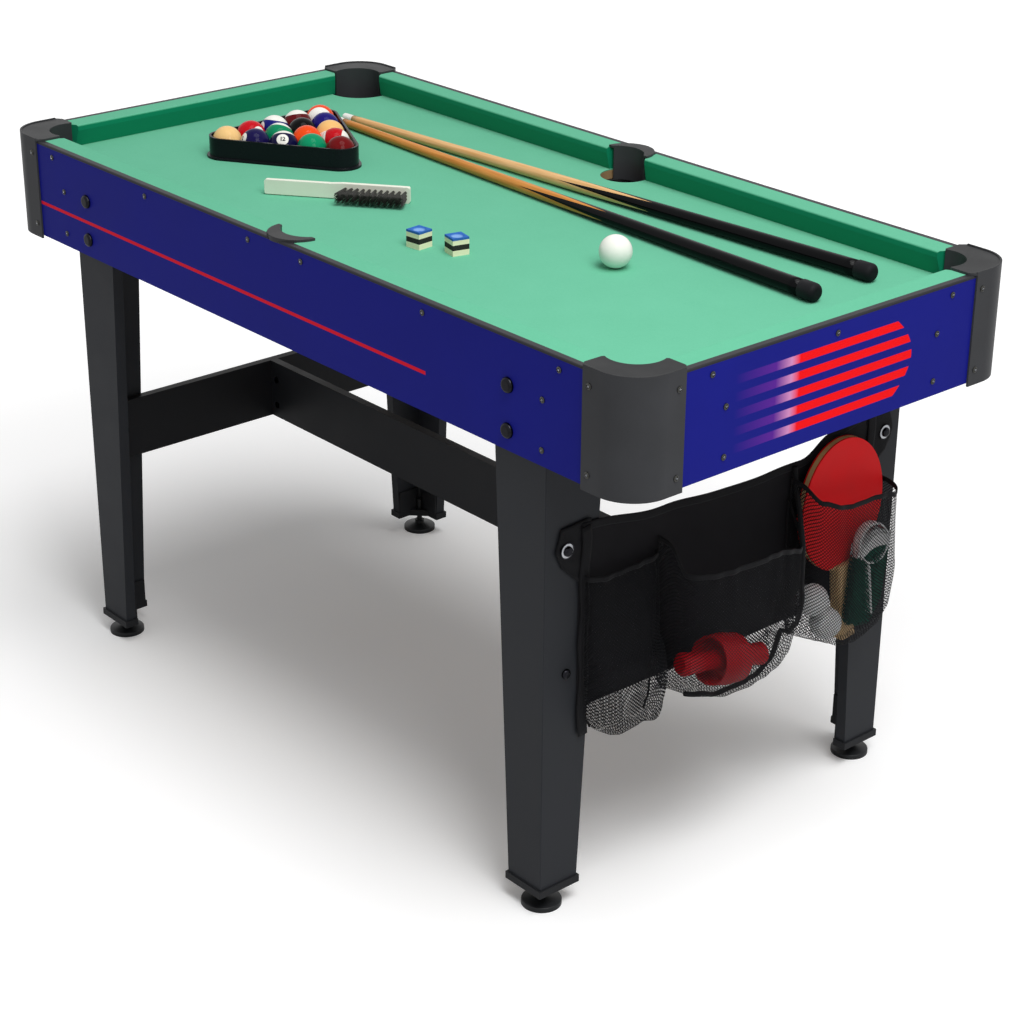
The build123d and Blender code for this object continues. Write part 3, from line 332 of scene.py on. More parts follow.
# Pressed silica and blue dye in a paper wrap: powdery and matt, paler in the worn dish, and the wrap
# smooth and cream with one plain dark band
def chalk_build(tree):
    place = node(tree, "TexCoord", output=3)
    height = node(tree, "Math SUBTRACT", (node(tree, "SeparateXYZ", (place,), 2), play_height))
    up = node(tree, "SeparateXYZ", (node(tree, "NewGeometry", (), 1),), 2)
    on_top = node(tree, "MapRange", (up, 0.3, 0.5, 0.0, 1.0))
    above_wrap = node(tree, "Math GREATER_THAN", (height, wrap_top))
    above = node(tree, "Math GREATER_THAN", (height, band_low))
    below = node(tree, "Math LESS_THAN", (height, band_high))
    band = node(tree, "Math MULTIPLY", (above, below))
    fleck = node(tree, "TexNoise", {"Vector": place, "Scale": every(1.1), "Detail": 4.0})
    cloud = node(tree, "TexNoise", {"Vector": place, "Scale": every(8.3), "Detail": 3.0})
    paper = node(tree, "Mix RGBA", {0: cloud, 6: "#efe6c0", 7: "#f8f1d2"}, 2)
    wrap = node(tree, "Mix RGBA", {0: band, 6: paper, 7: "#2a2a26"}, 2)
    cake = node(tree, "Mix RGBA", {0: fleck, 6: "#1d4c9c", 7: "#3f78c8"}, 2)
    dish = node(tree, "MapRange", (height, dish_rim, dish_floor, 0.0, 0.75))
    worn = node(tree, "Math MULTIPLY", (dish, on_top))
    cake = node(tree, "Mix RGBA", {0: worn, 6: cake, 7: "#8fb6e4"}, 2)
    bare = node(tree, "Math MAXIMUM", (on_top, above_wrap))
    relief = node(tree, "Math MULTIPLY", (fleck, bare))
    return {
        "Base Color": node(tree, "Mix RGBA", {0: bare, 6: wrap, 7: cake}, 2),
        "Roughness": 0.85,
        "Specular IOR Level": 0.2,
        "Normal": node(tree, "Bump", {"Height": relief, "Strength": 0.6, "Distance": 0.4 * mm}),
    }


# Drawn nylon filament: near black, paler where single strands catch the light
def bristle_build(tree):
    place = node(tree, "TexCoord", output=3)
    hair = node(tree, "TexNoise", {"Vector": place, "Scale": every(0.67), "Detail": 3.0})
    return {
        "Base Color": node(tree, "Mix RGBA", {0: hair, 6: "#0c0c0a", 7: "#24231c"}, 2),
        "Roughness": node(tree, "MapRange", (hair, 0.3, 0.7, 0.35, 0.6)),
        "Normal": node(tree, "Bump", {"Height": hair, "Strength": 0.5, "Distance": 0.4 * mm}),
    }


# Pimpled natural rubber glued to the bat: bright even red with rows of small dots, half matt
def rubber_build(tree):
    place = node(tree, "TexCoord", output=3)
    dots = node(tree, "TexVoronoi", {"Vector": place, "Scale": every(1.9), "Randomness": 0.0})
    cloud = node(tree, "TexNoise", {"Vector": place, "Scale": every(33), "Detail": 4.0})
    return {
        "Base Color": node(tree, "Mix RGBA", {0: cloud, 6: "#ee1319", 7: "#fb191f"}, 2),
        "Roughness": node(tree, "MapRange", (cloud, 0.3, 0.7, 0.5, 0.62)),
        "Specular IOR Level": 0.15,
        "Normal": node(tree, "Bump", {"Height": dots, "Strength": 0.3, "Distance": 0.3 * mm}),
    }


chalk_cake = material("blue_chalk_in_paper", chalk_build)
bristle_nylon = material("dark_nylon_bristles", bristle_build)
bat_rubber = material("red_pimpled_bat_rubber", rubber_build)

# Finish of each construction solid that stays in view, by the start of its name. The first that fits
# is taken.
finish_by_start = (
    ("apron_", apron_laminate),
    ("edge_trims", trim_plastic),
    ("bed_board", bed_board),
    ("bed_cloth", bed_cloth),
    ("bed_bearers", bearer_wood),
    ("cushion_", rail_cloth),
    ("corner_casting_", casting_plastic),
    ("side_pocket_", casting_plastic),
    ("corner_cup_", cup_plastic),
    ("side_cup_", cup_plastic),
    ("leveller_", leveller_plastic),
    ("leg_end_caps", cap_plastic),
    ("leg_", leg_laminate),
    ("end_stretcher_", stretcher_laminate_painted_darker),
    ("centre_stretcher", stretcher_laminate_painted_darker),
    ("frame_bolts", bolt_steel),
    ("rack", rack_plastic),
    ("pushers", pusher_plastic),
    ("table_tennis_balls", tennis_plastic),
    ("bat_rubbers", bat_rubber),
    ("bat", bat_wood),
    ("brush_back", brush_plastic),
    ("cue_1_ferrule", ferrule_plastic),
    ("cue_2_ferrule", ferrule_plastic),
    ("chalk_", chalk_cake),
)
for node_name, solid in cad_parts.items():
    for start, finish in finish_by_start:
        if node_name.startswith(start):
            solid.material_slots[0].material = finish
            break


def placed(name, data, body, replaced, at=Matrix.Identity(4)):
    """Put a mesh or curve in the scene as a piece that rides on a body.

    It stands for a solid of the construction, where one is named.
    """
    made = bpy.data.objects.new(name, data)
    bpy.context.scene.collection.objects.link(made)
    made.matrix_world = at
    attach(made, body)
    if replaced:
        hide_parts(replaced)
    return made


def piece(name, vertices, faces, finish, body, replaced, uvs=None, smooth=True):
    """Make one mesh piece from its vertices and faces, to ride on a body and stand for a solid."""
    mesh = bpy.data.meshes.new(name)
    mesh.from_pydata([tuple(v) for v in vertices], [], faces)
    if uvs:
        layer = mesh.uv_layers.new(name="UVMap")
        for loop in mesh.loops:
            layer.data[loop.index].uv = uvs[loop.vertex_index]
    for polygon in mesh.polygons:
        polygon.use_smooth = smooth
    mesh.materials.append(finish)
    return placed(name, mesh, body, replaced)


def thicken(made, thickness):
    """Give a sheet its thickness, half to each side."""
    modifier = made.modifiers.new("thickness", "SOLIDIFY")
    modifier.thickness = thickness
    modifier.offset = 0.0


def grid_faces(rows, columns, first=0):
    """Quads of a grid whose vertices run row by row."""
    faces = []
    for low in range(first, first + (rows - 1) * columns, columns):
        for a in range(low, low + columns - 1):
            faces.append((a, a + 1, a + columns + 1, a + columns))
    return faces


def ring_faces(rings, around, first=0):
    """Quads between closed rings whose vertices run ring by ring."""
    faces = []
    for low in range(first, first + (rings - 1) * around, around):
        for k in range(around):
            after = (k + 1) % around
            faces.append((low + k, low + after, low + around + after, low + around + k))
    return faces


def turned(profile, origin, axis, across, segments=48):
    """Vertices, faces and UVs of a profile of (distance, radius) turned round an axis.

    The UVs hold the turn from 0 to 1 and the distance along the axis.
    """
    axis = Vector(axis).normalized()
    across = Vector(across)
    across = (across - across.dot(axis) * axis).normalized()
    third = axis.cross(across)
    vertices, uvs = [], []
    for distance, radius in profile:
        for k in range(segments + 1):
            angle = 2 * pi * k / segments
            outward = cos(angle) * across + sin(angle) * third
            vertices.append(Vector(origin) + distance * axis + radius * outward)
            uvs.append((k / segments, distance))
    return vertices, grid_faces(len(profile), segments + 1), uvs


def interpolate(table, at):
    """Read a table of (place, value) pairs with a smooth step between them."""
    if at <= table[0][0]:
        return table[0][1]
    for (a, low), (b, high) in zip(table, table[1:]):
        if at <= b:
            share = (at - a) / (b - a)
            return low + (high - low) * share * share * (3 - 2 * share)
    return table[-1][1]


# Pan head screws: rings of the head from its middle to its foot, its dome and its cross recess
screw_rings = (0.0, 0.5 * mm, 1.1 * mm, 1.7 * mm, 2.2 * mm, 2.6 * mm, 3.2 * mm, 3.6 * mm, 3.7 * mm)
screw_radius = 3.6 * mm
screw_height = 2.0 * mm
screw_dome = 1.1 * mm
recess_half = 1.1 * mm
recess_deep = 0.8 * mm
recess_rings = 5
# Rings from the middle of each head that are drawn bright, as a painted highlight
painted_glint_rings = 2
around_screw = 32


def screw_heads(places):
    """Vertices and faces of a head at each place, facing outward from it."""
    vertices, faces = [], []
    for origin, outward in places:
        outward = Vector(outward)
        across = Vector((-outward.y, outward.x, 0))
        faces += ring_faces(len(screw_rings), around_screw, len(vertices))
        for ring, radius in enumerate(screw_rings):
            domed = screw_height - screw_dome * (radius / screw_radius) ** 2
            high = domed if radius <= screw_radius else 0.0
            arm = min(0.95, recess_half / max(radius, 0.6 * mm))
            for k in range(around_screw):
                angle = 2 * pi * k / around_screw
                in_recess = ring < recess_rings and abs(sin(2 * (angle + 0.3))) < arm
                rise = high - recess_deep if in_recess else high
                spot = across * radius * cos(angle) + Vector((0, 0, radius * sin(angle)))
                vertices.append(Vector(origin) + spot + outward * rise)
    return vertices, faces


# Where the screws sit: along the rails by shares of the aprons' half length, on the bearers inside
# and on the corner castings, whose skin stands out from the aprons
long_rail_shares = (-0.82, -0.454, -0.087, 0.087, 0.454, 0.82)
short_rail_shares = (-0.63, 0.0, 0.63)
rail_screw_z = 0.691
bearer_screw_x = 0.475
bearer_screw_y = 0.168
bearer_screw_heights = (0.650, 0.593)
casting_screw_x = 0.548
casting_screw_y = 0.2395
casting_screw_heights = (0.688, 0.590)
casting_skin = 2.5 * mm
casting_side = side_y + casting_skin
casting_end = end_x + casting_skin
screw_places = []
for side in (-1, 1):
    for share in long_rail_shares:
        screw_places.append(((share * end_x, side * side_y, rail_screw_z), (0, side, 0)))
    for share in short_rail_shares:
        screw_places.append(((side * end_x, share * side_y, rail_screw_z), (side, 0, 0)))
    for end in (-1, 1):
        for z in bearer_screw_heights:
            screw_places.append(((end * bearer_screw_x, side * side_y, z), (0, side, 0)))
            screw_places.append(((side * end_x, end * bearer_screw_y, z), (side, 0, 0)))
        for z in casting_screw_heights:
            screw_places.append(((end * casting_screw_x, side * casting_side, z), (0, side, 0)))
            screw_places.append(((side * casting_end, end * casting_screw_y, z), (side, 0, 0)))
vertices, faces = screw_heads(screw_places)
heads = piece("small_screw_heads", vertices, faces, screw_steel, "table", "small_screws", smooth=False)
# Painted highlight: the middle of each head is drawn in bright steel, standing in for a glint
heads.data.materials.append(washer_steel)
for polygon in heads.data.polygons:
    if polygon.index // around_screw % (len(screw_rings) - 1) < painted_glint_rings:
        polygon.material_index = 1

ball_white = "#f1efe6"
cap_from_share = 0.54
spot_from_share = 0.912
printed_edge_share = 0.01


# Cast and polished phenolic resin: glossy and deep, with a white number spot let in, and on the
# striped balls a band of colour between white caps
def ball_material(name, colour, striped):
    def build(tree):
        place = node(tree, "VectorMath NORMALIZE", (node(tree, "TexCoord", output=3),))
        height = node(tree, "Math ABSOLUTE", (node(tree, "SeparateXYZ", (place,), 2),))
        front = node(tree, "SeparateXYZ", (place,), 0)
        patch = ball_radius / (10 * mm)
        cloud = node(tree, "TexNoise", {"Vector": place, "Scale": patch, "Detail": 3.0})
        milky = node(tree, "MapRange", (cloud, 0.3, 0.7, 0.0, 0.005))
        pale = node(tree, "Mix RGBA", {0: cloud, 6: ball_white, 7: "#f7f6f0"}, 2)
        deep = node(tree, "Mix RGBA", {0: milky, 6: colour, 7: ball_white}, 2)
        if striped:
            cap_edge = (height, cap_from_share, cap_from_share + 2 * printed_edge_share, 0.0, 1.0)
            deep = node(tree, "Mix RGBA", {0: node(tree, "MapRange", cap_edge), 6: deep, 7: pale}, 2)
        spot_edge = (front, spot_from_share, spot_from_share + printed_edge_share, 0.0, 1.0)
        spot = node(tree, "MapRange", spot_edge)
        return {
            "Base Color": node(tree, "Mix RGBA", {0: spot, 6: deep, 7: pale}, 2),
            "Roughness": node(tree, "MapRange", (cloud, 0.3, 0.7, 0.05, 0.09)),
            "Specular IOR Level": 0.06,
        }

    return material(name, build)


def seen(across, up, toward):
    """A direction as the camera sees it: to the right, up and toward the camera."""
    return (camera_right * across + camera_up * up - camera_forward * toward).normalized()


def number_shape(text):
    """Flat digits sliced finely and wrapped on a ball, facing +X with +Z up."""
    digit_height = 8.2 * mm
    slice_width = 0.8 * mm
    ink_lift = 0.04 * mm
    curve = bpy.data.curves.new("digits", "FONT")
    curve.body = text
    curve.size = digit_height
    curve.align_x = "CENTER"
    curve.align_y = "CENTER"
    curve.offset = 0.35 * mm
    curve.space_character = 0.9
    holder = bpy.data.objects.new("digits", curve)
    bpy.context.scene.collection.objects.link(holder)
    bpy.context.view_layer.update()
    flat = bpy.data.meshes.new_from_object(holder.evaluated_get(bpy.context.evaluated_depsgraph_get()))
    work = bmesh.new()
    work.from_mesh(flat)
    for step in range(-6, 7):
        for normal in ((1, 0, 0), (0, 1, 0)):
            everything = work.verts[:] + work.edges[:] + work.faces[:]
            cut = Vector(normal) * step * slice_width
            bmesh.ops.bisect_plane(work, geom=everything, plane_co=cut, plane_no=normal)
    for vertex in work.verts:
        facing = Vector((ball_radius, vertex.co.x, vertex.co.y)).normalized()
        vertex.co = facing * (ball_radius + ink_lift)
    bpy.data.objects.remove(holder)
    bpy.data.curves.remove(curve)
    bpy.data.meshes.remove(flat)
    return work


def order_faces(work):
    """Put a mesh's faces in the order of their vertices, because a new sphere's order varies."""
    work.verts.index_update()
    count = len(work.verts)

    def place_of(face):
        low, middle, high = sorted(vertex.index for vertex in face.verts)[:3]
        return (low * count + middle) * count + high

    work.faces.sort(key=place_of)


def make_ball(name, centre, finish, body, number=None, spot=(0, 0, 1), crown=(0, 1, 0)):
    """A smooth ball with its spot turned one way and its number's head another."""
    work = number_shape(number) if number else bmesh.new()
    for face in work.faces:
        face.material_index = 1
    bmesh.ops.create_uvsphere(work, u_segments=64, v_segments=40, radius=ball_radius)
    order_faces(work)
    for face in work.faces:
        face.smooth = True
    mesh = bpy.data.meshes.new(name)
    work.to_mesh(mesh)
    work.free()
    mesh.materials.append(finish)
    mesh.materials.append(number_ink)
    front = Vector(spot).normalized()
    head = Vector(crown)
    head = (head - head.dot(front) * front).normalized()
    turn = Matrix((front, head.cross(front), head)).transposed()
    placed(name, mesh, body, body, Matrix.Translation(centre) @ turn.to_4x4())


# Fifteen object balls, by row from the apex and by place from the right in the photograph:
# number, colour, spot direction and crown direction as the camera sees them
ball_looks = {
    (0, 0): ("13", "#ee4a12", (0.05, -0.98, -0.2), (0, -0.2, 0.98)),
    (1, 0): ("4", "#1b1270", (0, -1, -0.3), (0, 1, 0)),
    (1, 1): ("15", "#5f0a12", (0.2, 0, -1), (-0.15, 1, 0.05)),
    (2, 0): ("9", "#f3c078", (0.3, -0.6, -0.7), (0, -0.75, 0.66)),
    (2, 1): ("8", "#060607", (0, -1, -0.5), (0, 1, 0)),
    (2, 2): ("10", "#141a72", (-0.85, 0.1, 0.45), (0.5, 0.85, -0.15)),
    (3, 0): ("11", "#bf0a18", (0, -1, -0.2), (1, 0, 0.12)),
    (3, 1): ("5", "#f04c14", (0, -1, -0.3), (0, 1, 0)),
    (3, 2): ("14", "#04875a", (0.05, -0.33, -0.94), (0.15, 0.94, -0.33)),
    (3, 3): ("3", "#c60a1c", (0.62, 0.1, 0.72), (0, 1, 0)),
    (4, 0): ("7", "#6e070c", (0, -1, -0.2), (0, 1, 0)),
    (4, 1): ("6", "#029062", (0, -1, -0.2), (0, 1, 0)),
    (4, 2): ("12", "#100d3c", (0.02, 0.30, 0.95), (0, 1, 0)),
    (4, 3): ("2", "#160f48", (-0.80, 0.25, 0.55), (0, 1, 0)),
    (4, 4): ("1", "#f3c886", (0, -1, -0.3), (0, 1, 0)),
}
rack_turn = radians(123)
rack_middle = Vector((-0.366, -0.003, play_height + ball_radius + 0.3 * mm))
rack_along = Vector((cos(rack_turn), sin(rack_turn), 0))
rack_across = Vector((-sin(rack_turn), cos(rack_turn), 0))
for (row, column), (number, colour, spot, crown) in ball_looks.items():
    along = 4 * ball_pitch / sqrt(3) - row * ball_pitch * cos(radians(30))
    centre = rack_middle + rack_along * along + rack_across * (column - row / 2) * ball_pitch
    finish = ball_material(f"cast_resin_ball_{number}", colour, int(number) > 8)
    make_ball(f"ball_{number}", centre, finish, "object_balls", number, seen(*spot), seen(*crown))
cue_ball_finish = ball_material("white_cast_resin_cue_ball", "#f1efe8", False)
make_ball("white_ball", (0.267, -0.004, 0.6953), cue_ball_finish, "cue_ball")

cue_girth = 0.06
cue_points = 4
point_turn = 0.186


# Turned maple under clear lacquer: pale long streaks with a soft gloss, and long black points spliced
# in from the black lacquered butt. Its streaks are drawn out twenty times along the cue.
def cue_material(name, light, dark, point_start, point_end):
    def build(tree):
        uv = node(tree, "TexCoord", output=2)
        turn = node(tree, "SeparateXYZ", (uv,), 0)
        run = node(tree, "SeparateXYZ", (uv,), 1)
        round_the_cue = node(tree, "Math MULTIPLY", (turn, cue_girth))
        drawn_out = node(tree, "Math MULTIPLY", (run, 1 / 20))
        place = node(tree, "CombineXYZ", (round_the_cue, drawn_out))
        streaks = {"Vector": place, "Scale": every(3.85), "Detail": 6.0, "Distortion": 0.3}
        streak = node(tree, "MapRange", (node(tree, "TexNoise", streaks), 0.3, 0.7, 0.0, 1.0))
        fine = node(tree, "TexNoise", {"Vector": place, "Scale": every(0.67), "Detail": 2.0})
        wood = node(tree, "Mix RGBA", {0: streak, 6: dark, 7: light}, 2)
        # A triangle wave of the turn sets where the black begins
        halves = 2.0 * cue_points
        turned_on = node(tree, "Math MULTIPLY_ADD", (turn, halves, -halves * point_turn))
        wave = node(tree, "Math PINGPONG", (turned_on, 1.0))
        edge = node(tree, "MapRange", (wave, 0.0, 1.0, point_start, point_end))
        past = node(tree, "Math SUBTRACT", (run, edge))
        black = node(tree, "MapRange", (past, -1.0 * mm, 1.0 * mm, 0.0, 1.0))
        return {
            "Base Color": node(tree, "Mix RGBA", {0: black, 6: wood, 7: "#08080a"}, 2),
            "Roughness": node(tree, "MapRange", (fine, 0.3, 0.7, 0.10, 0.15)),
            "Specular IOR Level": 0.07,
            "Normal": node(tree, "Bump", {"Height": fine, "Strength": 0.06, "Distance": 0.1 * mm}),
        }

    return material(name, build)


pale_cue = cue_material("pale_maple_cue", "#efc58f", "#d9a668", 0.435, 0.600)
warm_cue = cue_material("warm_maple_cue", "#e09a50", "#c47a34", 0.421, 0.588)

# The tips stay where the construction has them. The butts are as slim as in the photograph.
cue_length = 0.940
cue_tip_radius = 5.2 * mm
cue_solid_radius = 12.6 * mm
cue_butt_radius = 10.5 * mm
cue_longer = 9.0 * mm
solid_over_cloth = 0.3 * mm
solid_lip = 0.8 * mm
butt_over_cloth = 1.2 * mm
bumper_length = 24.0 * mm
bumper_lip = 0.7 * mm
bumper_edge_along = 0.4 * mm
bumper_edge_in = 0.3 * mm
bumper_round = 6.5 * mm
ferrule_length = 21.0 * mm
cue_lean = atan2(cue_solid_radius - cue_tip_radius, cue_length)
# Each cue: where its tip and its butt lie on the cloth, and its finish
cue_looks = {
    1: ((-0.452, 0.141), (0.489, 0.187), pale_cue),
    2: ((-0.440, 0.123), (0.494, 0.086), warm_cue),
}
for number, (tip, butt, finish) in cue_looks.items():
    heading = atan2(tip[1] - butt[1], tip[0] - butt[0])
    to_tip = Vector((cos(heading) * cos(cue_lean), sin(heading) * cos(cue_lean), -sin(cue_lean)))
    solid_z = play_height + solid_over_cloth + (cue_solid_radius + solid_lip) / cos(cue_lean)
    tip_point = Vector((*butt, solid_z)) + cue_length * to_tip
    butt_point = Vector((*butt, play_height + butt_over_cloth + cue_butt_radius))
    axis = (butt_point - tip_point).normalized()
    full_length = (butt_point - tip_point).length + cue_longer
    wood_end = full_length - bumper_length
    taper = (cue_butt_radius - cue_tip_radius) / full_length
    stations = [ferrule_length + (wood_end - ferrule_length) * k / 60 for k in range(61)]
    profile = [(s, cue_tip_radius + taper * s) for s in stations]
    profile = [(stations[0], 0.0)] + profile + [(stations[-1], 0.0)]
    vertices, faces, uvs = turned(profile, tip_point, axis, (0, 0, 1), 40)
    body = f"cue_{number}"
    piece(f"cue_{number}_turned_shaft", vertices, faces, finish, body, f"cue_{number}_shaft", uvs)
    # Rubber bumper, a little wider than the wood, with a rounded end
    lip = cue_butt_radius + bumper_lip
    profile = [(wood_end, 0.0), (wood_end, lip - bumper_edge_in)]
    profile += [(wood_end + bumper_edge_along, lip), (full_length - bumper_round, lip)]
    for a in (0.3, 0.6, 0.9, 1.2, 1.45):
        profile.append((full_length - bumper_round * (1 - sin(a)), lip - bumper_round * (1 - cos(a))))
    profile += [(full_length, lip - bumper_round), (full_length, 0.0)]
    vertices, faces, uvs = turned(profile, tip_point, axis, (0, 0, 1), 40)
    name = f"cue_{number}_rubber_bumper"
    piece(name, vertices, faces, bumper_rubber, body, f"cue_{number}_bumper", uvs)

# Brush: three rows of eleven tufts, each a bunch of nylon strands that spread to their tips
brush_turn = radians(38)
brush_along = Vector((cos(brush_turn), sin(brush_turn), 0))
brush_out = Vector((sin(brush_turn), -cos(brush_turn), 0))
brush_face = Vector((-0.1159, -0.0609, play_height + 10.5 * mm))
upward = Vector((0, 0, 1))
tuft_columns = 11
tuft_rows = 3
tuft_pitch = 7.8 * mm
tuft_row_pitch = 4.2 * mm
tuft_radius = 1.4 * mm
tuft_spread_along = 4.0 * mm
tuft_spread_up = 2.6 * mm
end_flare = 4.5 * mm
strands = 16
strand_turn = 2.4
strand_sway = 1.2 * mm
strand_base = 0.4 * mm
strand_length = 29.2 * mm
strand_half = 0.55 * mm
vertices, faces = [], []
for tuft in range(tuft_columns * tuft_rows):
    column, row = tuft % tuft_columns, tuft // tuft_columns
    root = brush_along * (column - 5) * tuft_pitch + upward * (row - 1) * tuft_row_pitch
    flare = -end_flare * max(0.0, (3 - column) / 3)
    for strand in range(strands):
        angle, spread = strand * strand_turn, sqrt((strand + 0.5) / strands)
        sway = strand_sway * noise.noise(Vector((column * 3.1, row * 5.7, strand * 0.9)))
        start = root + tuft_radius * spread * (cos(angle) * brush_along + sin(angle) * upward)
        end = root + tuft_spread_along * spread * cos(angle) * brush_along
        end += tuft_spread_up * spread * sin(angle) * upward + brush_along * (sway + flare)
        first = len(vertices)
        for share in (0.0, 0.5, 1.0):
            spot = start.lerp(end, share) + brush_out * (strand_base + strand_length * share)
            thick = strand_half * (1 - 0.25 * share)
            for side in range(4):
                outward = cos(side * pi / 2) * brush_along + sin(side * pi / 2) * upward
                vertices.append(brush_face + spot + thick * outward)
        faces += ring_faces(3, 4, first)
        faces.append((first + 8, first + 9, first + 10, first + 11))
piece("brush_tufts", vertices, faces, bristle_nylon, "brush", "brush_bristles", smooth=False)


# Knitted or knotted netting: a diamond net of dull threads with open holes, by its pitch, and painted
# highlights where its threads turn paler in random spots
def netting(name, thread, pitch, width_share, painted_glint_colour):
    def build(tree):
        uv = node(tree, "TexCoord", output=2)
        u = node(tree, "SeparateXYZ", (uv,), 0)
        v = node(tree, "SeparateXYZ", (uv,), 1)
        threads = []
        for sign in (1.0, -1.0):
            slant = node(tree, "Math MULTIPLY_ADD", (v, sign, u))
            turn = node(tree, "Math FRACT", (node(tree, "Math DIVIDE", (slant, pitch)),))
            off = node(tree, "Math ABSOLUTE", (node(tree, "Math SUBTRACT", (turn, 0.5)),))
            edge = (off, width_share / 2, width_share / 2 + 0.04, 1.0, 0.0)
            threads.append(node(tree, "MapRange", edge))
        covered = node(tree, "Math MAXIMUM", threads)
        # Painted highlight: a paler thread colour in random spots, for glints
        painted_glint = node(tree, "TexNoise", {"Vector": uv, "Scale": 1 / pitch, "Detail": 3.0})
        inputs = {
            "Base Color": node(tree, "Mix RGBA", {0: painted_glint, 6: thread, 7: painted_glint_colour}, 2),
            "Roughness": 0.8,
            "Specular IOR Level": 0.1,
            "Normal": node(tree, "Bump", {"Height": covered, "Strength": 0.5, "Distance": 0.5 * mm}),
        }
        solid = node(tree, "BsdfPrincipled", inputs)
        clear = node(tree, "BsdfTransparent")
        return node(tree, "MixShader", (covered, clear, solid))

    return material(name, build)


# Woven cloth and tape: dull, with warp and weft threads one pitch apart. A wave texture of scale 1
# repeats every tenth of pi.
def woven(name, colour, light, pitch):
    def build(tree):
        uv = node(tree, "TexCoord", output=2)
        threads = {"Vector": uv, "Scale": pi / 10 / pitch, "Distortion": 0.3}
        warp = node(tree, "TexWave", threads, 1, bands_direction="X")
        weft = node(tree, "TexWave", threads, 1, bands_direction="Y")
        weave = node(tree, "Math MULTIPLY", (warp, weft))
        cloud = node(tree, "TexNoise", {"Vector": uv, "Scale": every(25), "Detail": 4.0})
        return {
            "Base Color": node(tree, "Mix RGBA", {0: cloud, 6: colour, 7: light}, 2),
            "Roughness": 0.8,
            "Specular IOR Level": 0.15,
            "Sheen Weight": 0.03,
            "Sheen Roughness": 0.4,
            "Normal": node(tree, "Bump", {"Height": weave, "Strength": 0.5, "Distance": 0.4 * mm}),
        }

    return material(name, build)


# Polyester fabric and binding tape of the bag, polyester mesh, polyethylene net and its cotton tape.
# Threads and meshes are drawn about twice as coarse as the real ones, so that they show.
bag_fabric = woven("black_woven_polyester", "#0c0b0e", "#131216", 1.2 * mm)
bag_tape = woven("black_woven_binding_tape", "#0e0e10", "#17171a", 1.0 * mm)
# The last colour of each net is a painted highlight on its threads
bag_mesh = netting("black_knitted_mesh", "#0b0b0d", 4.6 * mm, 0.26, "#1a1b1e")
net_mesh = netting("dark_green_knotted_net", "#0f3b30", 6.0 * mm, 0.36, "#1f5f4e")
net_tape = woven("white_cotton_tape", "#d9dbdc", "#eeefef", 0.9 * mm)

# Bag panel: fabric sheet that hangs between its two bolted tabs, with soft ripples
panel_half = 0.240
panel_width = 2 * panel_half
panel_low = 0.258
fabric_x = leg_x + 1.6 * mm
top_edge = [
    (-panel_half, 0.486),
    (-0.110, 0.471),
    (0.010, 0.463),
    (0.110, 0.464),
    (0.165, 0.485),
    (panel_half, 0.500),
]


def ripple(y, z):
    """How far the hanging fabric stands off its flat plane."""
    slow = noise.noise(Vector((y * 9, z * 5, 0.3)))
    pull = sin(y * 70 + z * 25) * interpolate([(0.40, 0.3), (0.50, 1.0)], z)
    return 1.2 * mm * (slow + pull)


columns, rows = 97, 49
vertices, uvs = [], []
for r in range(rows):
    for c in range(columns):
        y = -panel_half + panel_width * c / (columns - 1)
        z = panel_low + (interpolate(top_edge, y) - panel_low) * r / (rows - 1)
        vertices.append((fabric_x + ripple(y, z), y, z))
        uvs.append((y, z))
faces = grid_faces(rows, columns)
panel = piece("bag_back_panel", vertices, faces, bag_fabric, "table", "bag_panel", uvs)
thicken(panel, 0.9 * mm)


# Binding tape sewn over the top edge and down each side, where it hangs on past the panel
def tape(name, route, width, lift):
    """A narrow band along a route of (y, z) points, thicker along its middle."""
    vertices, uvs, run = [], [], 0.0
    for k, (y, z) in enumerate(route):
        before, after = route[max(k - 1, 0)], route[min(k + 1, len(route) - 1)]
        across = Vector((before[1] - after[1], after[0] - before[0])).normalized()
        run += hypot(y - before[0], z - before[1])
        for share in (-0.5, -0.3, 0.3, 0.5):
            thick = 0.4 * mm if abs(share) < 0.4 else 0.0
            spot = Vector((y, z)) + across * share * width
            vertices.append((fabric_x + ripple(y, z) + lift + thick, spot.x, spot.y))
            uvs.append((share * width, run))
    made = piece(name, vertices, grid_faces(len(route), 4), bag_tape, "table", "bag_panel", uvs)
    thicken(made, 0.8 * mm)
    return made


binding_width = 10 * mm
strip_width = 14 * mm
strip_middle = 0.233
strip_low = 0.222
top_route = []
for y_mm in range(-238, 239, 7):
    top_route.append((y_mm * mm, interpolate(top_edge, y_mm * mm) - 3 * mm))
bag_parts = [tape("bag_top_binding", top_route, binding_width, 0.6 * mm)]
for sign, label, start in ((-1, "left", 0.484), (1, "right", 0.498)):
    route = []
    for k in range(41):
        wavy = 1.5 * mm * sin(k * 0.5)
        route.append((sign * strip_middle + wavy, start - (start - strip_low) * k / 40))
    bag_parts.append(tape(f"bag_{label}_side_strip", route, strip_width, 2.2 * mm))

